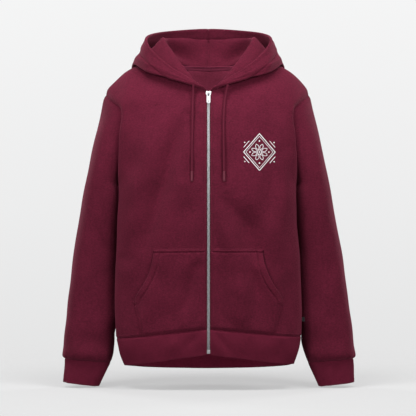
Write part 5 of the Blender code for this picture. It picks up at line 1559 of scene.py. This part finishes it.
    inward = np.array([-1.0, 0.0])
    m = dense2(mouth)
    for by in (0.0030, 0.0142):
        ln = inset(m, by, inward)
        ln = ln[ln[:, 1] < pocket_z1 - (0.0040 if by < 0.01 else 0.0105)]
        ln = ln[ln[:, 1] > corner_z + 0.001 - by * 0.4]
        lay(ln)
    lay(inset(dense2(sewn), 0.0024, inward))
    top_line = np.stack([X[-1], Z[-1]], axis=1)
    for by in (0.0022, 0.0080):
        ln = dense2(top_line)
        ln = ln - np.array([0.0, by])
        ln = ln[(ln[:, 0] > POCKET_IN + 0.001) & (ln[:, 0] < 0.1215 - 0.001)]
        lay(ln)
pocket_threads = threads
threads = []
thread_object("stitching_body", body_threads)
thread_object("stitching_hood", hood_threads)
thread_object("stitching_pockets", pocket_threads)

# --------------------------------------------------------------------- zip
front_dense = smooth(CENTRE_FRONT, np.linspace(0, 1, 200))
hem_front = base[:, 0]
line_z = np.concatenate([hem_front[::-1, 2][:-1], front_dense[:, 1]])
line_y = np.concatenate([hem_front[::-1, 1][:-1], front_dense[:, 0]])
order = np.argsort(line_z)
line_z, line_y = line_z[order], line_y[order]


def zip_y(z):
    return np.interp(z, line_z, line_y)


def zip_frame(z):
    """Point, up and outward directions along the zip."""
    z = np.asarray(z, float)
    y = zip_y(z)
    up = unit(np.stack([np.zeros_like(z), zip_y(z + 0.004) - zip_y(z - 0.004), np.full_like(z, 0.008)], axis=-1))
    outw = np.stack([np.zeros_like(z), -up[..., 2], up[..., 1]], axis=-1)
    return np.stack([np.zeros_like(z), y, z], axis=-1), up, outw


for word, side in SIDES:
    zs = np.arange(-0.6500, -0.0640, 0.0020)
    p, up, outw = zip_frame(zs)
    xs = np.array([0.0005, 0.0012, 0.0018, 0.0022, 0.0028, 0.0034, 0.0040, 0.0052, 0.0080, 0.0120, 0.0145])
    bead = 0.0009 * np.exp(-((xs - 0.0014) / 0.0007) ** 2)
    g = p[:, None, :] + np.stack([xs * side, np.zeros(len(xs)), np.zeros(len(xs))], axis=1)[None] \
        + outw[:, None, :] * (-0.0034 + bead)[None, :, None]
    n = np.broadcast_to(outw[:, None, :], g.shape)
    obj = shell("zip_tape_cloth_" + word, g, 0.0008, (tape_mat, tape_mat), n=n, rounds=(1, 1, 1, 1))
    place(obj, ["zip_tape_" + word])

# teeth: each a small bevelled block that reaches past the middle, both sides in turn
TOOTH = 0.0026
chain_top = SLIDER_TOP_Z - SLIDER_L - 0.0012
outline = np.array([(0.0031, -0.00062), (0.0031, 0.00062), (0.0008, 0.00066), (-0.0002, 0.00046), (-0.0004, 0.0),
                    (-0.0002, -0.00046), (0.0008, -0.00066)])
layers = [(-0.0012, 0.80), (-0.0010, 1.0), (0.0006, 1.0), (0.0009, 0.78)]
verts, quads, tris, off = [], [], [], 0
for side in (1, -1):
    zs = np.arange(-0.6425, chain_top, TOOTH) + (TOOTH / 2 if side < 0 else 0.0)
    p, up, outw = zip_frame(zs)
    m, L = len(outline), len(layers)
    c = np.array([0.0014, 0.0])
    block = []
    for depth, k in layers:
        o = c + (outline - c) * np.array([0.5 + 0.5 * k, k])
        block.append(np.stack([o[:, 0] * side, o[:, 1], np.full(m, depth)], axis=1))
    block = np.concatenate(block)
    v = (p[:, None, :] + block[None, :, 0:1] * np.array([1.0, 0, 0]) + block[None, :, 1:2] * up[:, None, :]
         + block[None, :, 2:3] * outw[:, None, :])
    q = [(i * m + k, i * m + (k + 1) % m, (i + 1) * m + (k + 1) % m, (i + 1) * m + k) for i in range(L - 1) for k in range(m)]
    t = [(0, k + 1, k) for k in range(1, m - 1)] + [((L - 1) * m, (L - 1) * m + k, (L - 1) * m + k + 1) for k in range(1, m - 1)]
    bs = (np.arange(len(zs)) * m * L)[:, None, None] + off
    quads.append((np.array(q)[None] + bs).reshape(-1, 4))
    tris.append((np.array(t)[None] + bs).reshape(-1, 3))
    verts.append(v.reshape(-1, 3))
    off += len(zs) * m * L
chain = mesh_object("zip_teeth", np.concatenate(verts), np.concatenate(quads), np.concatenate(tris), sharp=40)
chain.data.materials.append(steel)
place(chain, ["zip_chain"])


def plates(name, outlines, thick, bevel, placed, material, segments=2):
    """Bevelled plate from closed (a, b) outlines, the first outside and the rest holes."""
    cu = bpy.data.curves.new(name, "CURVE")
    cu.dimensions, cu.fill_mode = "2D", "BOTH"
    cu.extrude, cu.bevel_depth, cu.bevel_resolution, cu.offset = thick / 2 - bevel, bevel, segments, -bevel
    for pts in outlines:
        sp = cu.splines.new("POLY")
        sp.points.add(len(pts) - 1)
        for q, p in zip(sp.points, pts):
            q.co = (p[0], p[1], 0.0, 1.0)
        sp.use_cyclic_u = True
    tmp = bpy.data.objects.new(name + "_tmp", cu)
    bpy.context.scene.collection.objects.link(tmp)
    dg = bpy.context.evaluated_depsgraph_get()
    mesh = bpy.data.meshes.new_from_object(tmp.evaluated_get(dg))
    bpy.data.objects.remove(tmp, do_unlink=True)
    co = np.empty(len(mesh.vertices) * 3, np.float32)
    mesh.vertices.foreach_get("co", co)
    mesh.vertices.foreach_set("co", placed(co.reshape(-1, 3).astype(float)).astype(np.float32).ravel())
    mesh.materials.clear()
    mesh.materials.append(material)
    bm = bmesh.new()
    bm.from_mesh(mesh)
    bmesh.ops.remove_doubles(bm, verts=bm.verts, dist=1e-6)
    bmesh.ops.recalc_face_normals(bm, faces=bm.faces)
    bm.to_mesh(mesh)
    bm.free()
    mesh.shade_smooth()
    mesh.set_sharp_from_angle(angle=math.radians(35))
    obj = bpy.data.objects.new(name, mesh)
    bpy.context.scene.collection.objects.link(obj)
    return obj


def join(objs, name):
    bpy.ops.object.select_all(action="DESELECT")
    for o in objs:
        o.select_set(True)
    bpy.context.view_layer.objects.active = objs[0]
    bpy.ops.object.join()
    objs[0].name = name
    return objs[0]


def old_zip_y(z):
    line = [(-r[2], r[1]) for r in CENTRE_FRONT[::-1]] + [(0.6252, -0.1255), (-HEM["front"][2], HEM["front"][1])]
    return np.interp(-z, [a for a, _ in line], [b for _, b in line])


slope = math.atan2(old_zip_y(-0.062) - old_zip_y(-0.092), 0.030)
PIVOT_Z = SLIDER_TOP_Z - 0.0050
pivot = np.array([0.0, old_zip_y(PIVOT_Z) - PIVOT_OUT * math.cos(slope), PIVOT_Z])
cs, sn = math.cos(-slope), math.sin(-slope)


def at_pivot(x, y, z):
    return np.stack([x, y * cs - z * sn, y * sn + z * cs], axis=-1) + pivot


def rounded(x, z0, z1, r, steps=6):
    pts = []
    for cx, cz, a0 in ((x - r, z1 - r, 0), (-x + r, z1 - r, 90), (-x + r, z0 + r, 180), (x - r, z0 + r, 270)):
        for k in range(steps + 1):
            a = math.radians(a0 + 90 * k / steps)
            pts.append((cx + r * math.cos(a), cz + r * math.sin(a)))
    return pts


w, top_, foot = SLIDER_W / 2, 0.0050, 0.0050 - SLIDER_L
outline_s = [(-w * 0.62, foot), (w * 0.62, foot), (w * 0.72, foot + 0.004), (w, top_ - 0.006), (w, top_ - 0.0015),
             (w * 0.75, top_), (w * 0.25, top_ - 0.0006), (-w * 0.25, top_ - 0.0006), (-w * 0.75, top_),
             (-w, top_ - 0.0015), (-w, top_ - 0.006), (-w * 0.72, foot + 0.004)]
closed_s = np.array(outline_s + outline_s[:1])
ds_ = lengths(closed_s)
fine_s = [tuple(p) for p in smooth([(ds_[i], *closed_s[i]) for i in range(len(closed_s))], np.linspace(0, ds_[-1], 61))[:-1]]
y0, y1 = FACE, PIVOT_OUT - 0.0005
face_obj = plates("slider_face", [fine_s, rounded(0.0018, -0.0079, -0.0007, 0.0008, 6)], y1 - y0, 0.0005,
                  lambda v: at_pivot(v[:, 0], v[:, 2] + (y0 + y1) / 2, v[:, 1]), slider_steel, 3)
c0, c1 = FACE + 0.0010, PIVOT_OUT + 0.0022
# the core, seen through the slot in the face, carries the painted shadow of the recess
core_obj = plates("slider_core", [rounded(0.0034, foot + 0.0008, top_ - 0.0014, 0.0012)], c1 - c0, 0.0003,
                  lambda v: at_pivot(v[:, 0], v[:, 2] + (c0 + c1) / 2, v[:, 1]), slot_painted_shadow_steel)
ARCH_IN, ARCH_OUT, ARCH_W = 0.0030, 0.0042, 0.0024
arc = [(-ARCH_OUT * math.sin(math.pi * k / 24), ARCH_OUT * math.cos(math.pi * k / 24)) for k in range(25)]
arc_in = [(-ARCH_IN * math.sin(math.pi * k / 24), ARCH_IN * math.cos(math.pi * k / 24)) for k in range(24, -1, -1)]
ring_pts = [(FACE + 0.0006, ARCH_OUT)] + arc + [(FACE + 0.0006, -ARCH_OUT), (FACE + 0.0006, -ARCH_IN)] + arc_in + [(FACE + 0.0006, ARCH_IN)]
bridge_obj = plates("slider_bridge", [ring_pts], ARCH_W, 0.00035, lambda v: at_pivot(v[:, 2], v[:, 0], v[:, 1]), bridge_steel)
slider_obj = join([face_obj, core_obj, bridge_obj], "zip_slider_body")
place(slider_obj, ["zip_slider"])

plate_o = rounded(PULL_W / 2, 0.0012 - PULL_L, 0.0012, 0.0022, 8)
slot_o = rounded(0.0017, -0.0078, -0.0008, 0.0008, 6)
eye_o = rounded(0.0014, 0.0012 - PULL_L + 0.0022, 0.0012 - PULL_L + 0.0050, 0.00135, 6)
pull_obj = plates("zip_pull_tab", [plate_o, slot_o, eye_o], PULL_T, 0.00032,
                  lambda v: at_pivot(v[:, 0], v[:, 2], v[:, 1]), slider_steel, 3)
place(pull_obj, ["zip_pull"], TAB)

p, up, outw = zip_frame(np.array([-0.6472]))
box_pts = rounded(0.0036, -0.00425, 0.00425, 0.0009, 4)
stop_a = plates("stop_a", [box_pts], 0.0034, 0.0005,
                lambda v: p[0] + v[:, 0:1] * np.array([1.0, 0, 0]) + v[:, 1:2] * up[0] + (v[:, 2:3] - 0.0003) * outw[0], steel)
stop_b = plates("stop_b", [rounded(0.0022, -0.0030, 0.0020, 0.0006, 3)], 0.0012, 0.0003,
                lambda v: p[0] + v[:, 0:1] * np.array([1.0, 0, 0]) + v[:, 1:2] * up[0] + (v[:, 2:3] + 0.0011) * outw[0], steel)
stop_obj = join([stop_a, stop_b], "zip_stop")
place(stop_obj, ["zip_box"])

# --------------------------------------------------------------- neck tape
TAPE_WIDTH, TAPE_IN = 0.0090, 0.0046
nape_table = numbered([NECK[5], NECK[6], NECK[7], (-NECK[6][0], *NECK[6][1:]), (-NECK[5][0], *NECK[5][1:])])


def back_depth(x, z):
    word = "left" if x >= 0 else "right"
    g = panels["back_" + word]["base"][::4]
    pairs = np.array([(np.interp(abs(x), np.abs(row[:, 0]), row[:, 2]), np.interp(abs(x), np.abs(row[:, 0]), row[:, 1])) for row in g])
    pairs = pairs[np.argsort(pairs[:, 0])]
    return np.interp(z, pairs[:, 0], pairs[:, 1])


rows = []
for k in range(9):
    row = []
    for p_ in smooth(nape_table, np.linspace(0.0, 4.0, 90)):
        z = p_[2] - 0.0010 + 0.0042 * max(0.0, 1 - (p_[0] / 0.054) ** 2) - TAPE_WIDTH * k / 8
        y = min(back_depth(p_[0], z), p_[1] + 0.9 * (p_[2] - z)) - TAPE_IN
        y -= 0.0009 * (0.5 - 0.5 * math.cos(math.pi * k / 2))
        row.append((p_[0], y, z))
    rows.append(row)
g = np.array(rows)
for _ in range(6):
    g[:, 1:-1, 1] = g[:, 1:-1, 1] * 0.5 + (g[:, :-2, 1] + g[:, 2:, 1]) * 0.25
n = normals(g, False)
n = np.where((n[..., 1] > 0)[..., None], -n, n)
tape_obj = shell("neck_tape_cloth", g, 0.0009, (neck_tape_painted_lit, neck_tape_painted_lit), n=n, rounds=(1, 1, 1, 1))
place(tape_obj, ["neck_tape"])
for r in (1, 7):
    stitches(g[r], n[r])
thread_object("stitching_tape", threads)
threads = []

# ---------------------------------------------------------------- side tag
tz, ty, tx = -0.5785, -0.0300, 0.2166
along_u = np.array([0.0072, -0.0052, 0.0])
nrm_t = unit(np.array([0.0052, 0.0072, 0.0]))
tag_rows = []
for i in range(13):
    v = -0.005 + 0.010 * i / 12
    row = []
    for j in range(15):
        # a ribbon folded over: out along one face and back along the other
        a = j / 14
        if a < 0.44:
            q = along_u * (a / 0.44) * 0.94 + nrm_t * -0.00035
        elif a > 0.56:
            q = along_u * ((1 - a) / 0.44) * 0.94 + nrm_t * 0.00035
        else:
            ph = (a - 0.44) / 0.12 * math.pi
            q = along_u * (0.94 + 0.06 * math.sin(ph)) + nrm_t * (-0.00035 * math.cos(ph))
        row.append(np.array([tx, ty, tz + v]) + q)
    tag_rows.append(row)
g = lean(np.array(tag_rows)) + np.array([-0.0010, -0.0010, 0.0])
n = normals(g, False)
tag_obj = shell("side_tag_cloth", g, 0.00026, (tag_mat, tag_mat), n=n, rounds=(1, 1, 1, 1))
place(tag_obj, ["side_tag"])

# ------------------------------------------------- generic print on the chest
PRINT_X, PRINT_Z, PRINT_R = 0.1145, -0.1985, 0.0415
H = heights["left"]
pv, pq = [], []


def ribbon(line, width, closed=False):
    """Flat ink line of a width along (a, b) points about the print's centre."""
    line = np.asarray(line, float)
    if closed:
        line = np.concatenate([line, line[:1]])
    d = lengths(line)
    steps = max(int(d[-1] / 0.0012), 3)
    c = np.stack([np.interp(np.linspace(0, d[-1], steps), d, line[:, k]) for k in range(2)], axis=1)
    t = unit(np.gradient(c, axis=0))
    if closed:
        t[0] = t[-1] = unit((t[0] + t[-1])[None])[0]
    nr = np.stack([-t[:, 1], t[:, 0]], axis=1)
    add_patch(np.stack([c - nr * width / 2, c - nr * width / 6, c + nr * width / 6, c + nr * width / 2], axis=1))


def add_patch(grid):
    """A strip of ink: top, bottom and sides, laid on the chest."""
    X_, Z_ = PRINT_X + grid[..., 0], PRINT_Z + grid[..., 1]
    a = H.point(X_, Z_, 0.00042)
    b = H.point(X_, Z_, 0.00006)
    v, q, k, src = shell_arrays(a, 0.0003, inner=b, rim=1)
    pq.append(q + sum(len(x) for x in pv))
    pv.append(v)


def ring_line(r, n=72, cx=0.0, cz=0.0, start=0.0):
    a = np.linspace(0, 2 * math.pi, n, endpoint=False) + start
    return np.stack([cx + r * np.cos(a), cz + r * np.sin(a)], axis=1)


def disc(r, cx, cz, rings=3):
    k = np.linspace(0.02, 1.0, rings + 1)
    a = np.linspace(0, 2 * math.pi, 25)
    add_patch(np.stack([np.stack([cx + r * q * np.cos(a), cz + r * q * np.sin(a)], axis=1) for q in k], axis=0))


def petal(angle, r0, r1, width):
    t = np.linspace(0, 1, 26)
    half = width * np.sin(math.pi * t) ** 0.8
    x = r0 + (r1 - r0) * t
    pts = np.concatenate([np.stack([x, half], axis=1), np.stack([x, -half], axis=1)[::-1][1:-1]])
    c, s_ = math.cos(angle), math.sin(angle)
    ribbon(pts @ np.array([[c, s_], [-s_, c]]), 0.0011, True)


R = PRINT_R
ribbon([(0, R), (R * 0.86, 0), (0, -R), (-R * 0.86, 0)], 0.0017, True)
ribbon([(0, R * 0.86), (R * 0.74, 0), (0, -R * 0.86), (-R * 0.74, 0)], 0.0009, True)
for k in range(8):
    petal(math.pi / 8 + k * math.pi / 4, R * 0.14, R * (0.46 if k % 2 == 0 else 0.46), R * 0.085)
ribbon(ring_line(R * 0.115), 0.0011, True)
disc(R * 0.045, 0.0, 0.0)
for k in range(4):
    a = k * math.pi / 2
    disc(R * 0.040, R * 0.60 * math.cos(a) * 0.86, R * 0.60 * math.sin(a))
for sx in (-1, 1):
    for sz in (-1, 1):
        ribbon([(sx * R * 0.56, sz * R * 0.60), (sx * R * 0.86, sz * R * 0.25)], 0.0013)
        disc(R * 0.034, sx * R * 0.80, sz * R * 0.52)
print_obj = mesh_object("chest_print", np.concatenate(pv), np.concatenate(pq), sharp=None)
print_obj.data.materials.append(ink)
place(print_obj)

# ------------------------------------------------------------ floor, lights
FLOOR_Z = -0.7355
bm = bmesh.new()
rings_r = [0.0, 0.3, 0.6, 0.9, 1.3, 1.8, 2.4, 3.2]
prev = None
centre_v = bm.verts.new((0, 0, FLOOR_Z))
for r in rings_r[1:]:
    cur = [bm.verts.new((r * math.cos(2 * math.pi * k / 64), r * math.sin(2 * math.pi * k / 64), FLOOR_Z)) for k in range(64)]
    for k in range(64):
        q = (k + 1) % 64
        if prev is None:
            bm.faces.new((centre_v, cur[k], cur[q]))
        else:
            bm.faces.new((prev[k], cur[k], cur[q], prev[q]))
    prev = cur
mesh = bpy.data.meshes.new("floor")
bm.to_mesh(mesh)
bm.free()
floor = bpy.data.objects.new("floor", mesh)
bpy.context.scene.collection.objects.link(floor)
fm, nt, sh = nodes_of("floor_paper")
sh.inputs["Base Color"].default_value = (0.36, 0.36, 0.362, 1.0)
sh.inputs["Roughness"].default_value = 0.95
sh.inputs["Specular IOR Level"].default_value = 0.1
geo = nt.nodes.new("ShaderNodeNewGeometry")
flat_r = nt.nodes.new("ShaderNodeVectorMath")
flat_r.operation = "MULTIPLY"
flat_r.inputs[1].default_value = (1.0, 1.0, 0.0)
leng = nt.nodes.new("ShaderNodeVectorMath")
leng.operation = "LENGTH"
nt.links.new(geo.outputs["Position"], flat_r.inputs[0])
nt.links.new(flat_r.outputs["Vector"], leng.inputs[0])
mr = nt.nodes.new("ShaderNodeMapRange")
mr.interpolation_type = "SMOOTHSTEP"
mr.inputs["From Min"].default_value, mr.inputs["From Max"].default_value = 0.35, 1.6
mr.inputs["To Min"].default_value = 0.56
nt.links.new(leng.outputs["Value"], mr.inputs["Value"])
clear = nt.nodes.new("ShaderNodeBsdfTransparent")
mixer = nt.nodes.new("ShaderNodeMixShader")
nt.links.new(mr.outputs["Result"], mixer.inputs["Fac"])
nt.links.new(sh.outputs["BSDF"], mixer.inputs[1])
nt.links.new(clear.outputs["BSDF"], mixer.inputs[2])
nt.links.new(mixer.outputs["Shader"], nt.nodes["Material Output"].inputs["Surface"])
floor.data.materials.append(fm)

world = bpy.data.worlds.new("studio")
bpy.context.scene.world = world
world.use_nodes = True
wt = world.node_tree
bg = wt.nodes["Background"]
tc = wt.nodes.new("ShaderNodeTexCoord")
sep = wt.nodes.new("ShaderNodeSeparateXYZ")
wt.links.new(tc.outputs["Generated"], sep.inputs["Vector"])
wr = wt.nodes.new("ShaderNodeValToRGB")
wmap = wt.nodes.new("ShaderNodeMapRange")
wmap.inputs["From Min"].default_value, wmap.inputs["From Max"].default_value = -1.0, 1.0
wt.links.new(sep.outputs["Z"], wmap.inputs["Value"])
wt.links.new(wmap.outputs["Result"], wr.inputs["Fac"])
els = wr.color_ramp.elements
sky = [(-1.0, 0.30), (-0.60, 0.45), (-0.25, 0.74), (-0.10, 0.750), (0.0, 0.845), (0.10, 0.915), (0.16, 0.80), (0.34, 0.22), (1.0, 0.16)]
while len(els) < len(sky):
    els.new(0.5)
for e, (z_, c_) in zip(els, sky):
    e.position, e.color = (z_ + 1) / 2, (c_ * 0.998, c_, c_ * 1.002, 1)
wt.links.new(wr.outputs["Color"], bg.inputs["Color"])
bg.inputs["Strength"].default_value = 1.0


def area_light(name, loc, target, size, power, colour=(1, 1, 1)):
    li = bpy.data.lights.new(name, "AREA")
    li.shape, li.size, li.size_y = "RECTANGLE", size[0], size[1]
    li.energy, li.color = power, colour
    ob = bpy.data.objects.new(name, li)
    bpy.context.scene.collection.objects.link(ob)
    ob.location = loc
    ob.rotation_euler = (Vector(target) - Vector(loc)).to_track_quat("-Z", "Y").to_euler()
    return ob


area_light("key", (-0.85, -1.30, 2.45), (0, 0, -0.30), (1.2, 1.2), 113.0)
area_light("second", (0.85, -1.30, 2.45), (0, 0, -0.30), (1.2, 1.2), 100.0)
area_light("side_a", (-2.3, -3.0, 0.50), (0, 0, -0.20), (0.9, 0.9), 68.0)
area_light("side_b", (2.3, -3.0, 0.50), (0, 0, -0.20), (0.9, 0.9), 62.0)

area_light("behind_a", (-2.5, 2.7, 0.9), (0, 0, -0.30), (1.0, 1.0), 92.0)
area_light("behind_b", (2.5, 2.7, 0.9), (0, 0, -0.30), (1.0, 1.0), 92.0)

spot = bpy.data.lights.new("hood_spot", "SPOT")
spot.energy, spot.spot_size, spot.spot_blend, spot.shadow_soft_size = 800.0, math.radians(8.0), 1.0, 0.20
spot_obj = bpy.data.objects.new("hood_spot", spot)
bpy.context.scene.collection.objects.link(spot_obj)
spot_obj.location = (0.0, -4.6, 0.35)
spot_obj.rotation_euler = (Vector((0.0, 0.03, 0.02)) - spot_obj.location).to_track_quat("-Z", "Y").to_euler()

scene = bpy.context.scene
scene.view_settings.view_transform = "Standard"
scene.view_settings.look = "None"
scene.view_settings.exposure = 0.0
scene.view_settings.gamma = 1.0
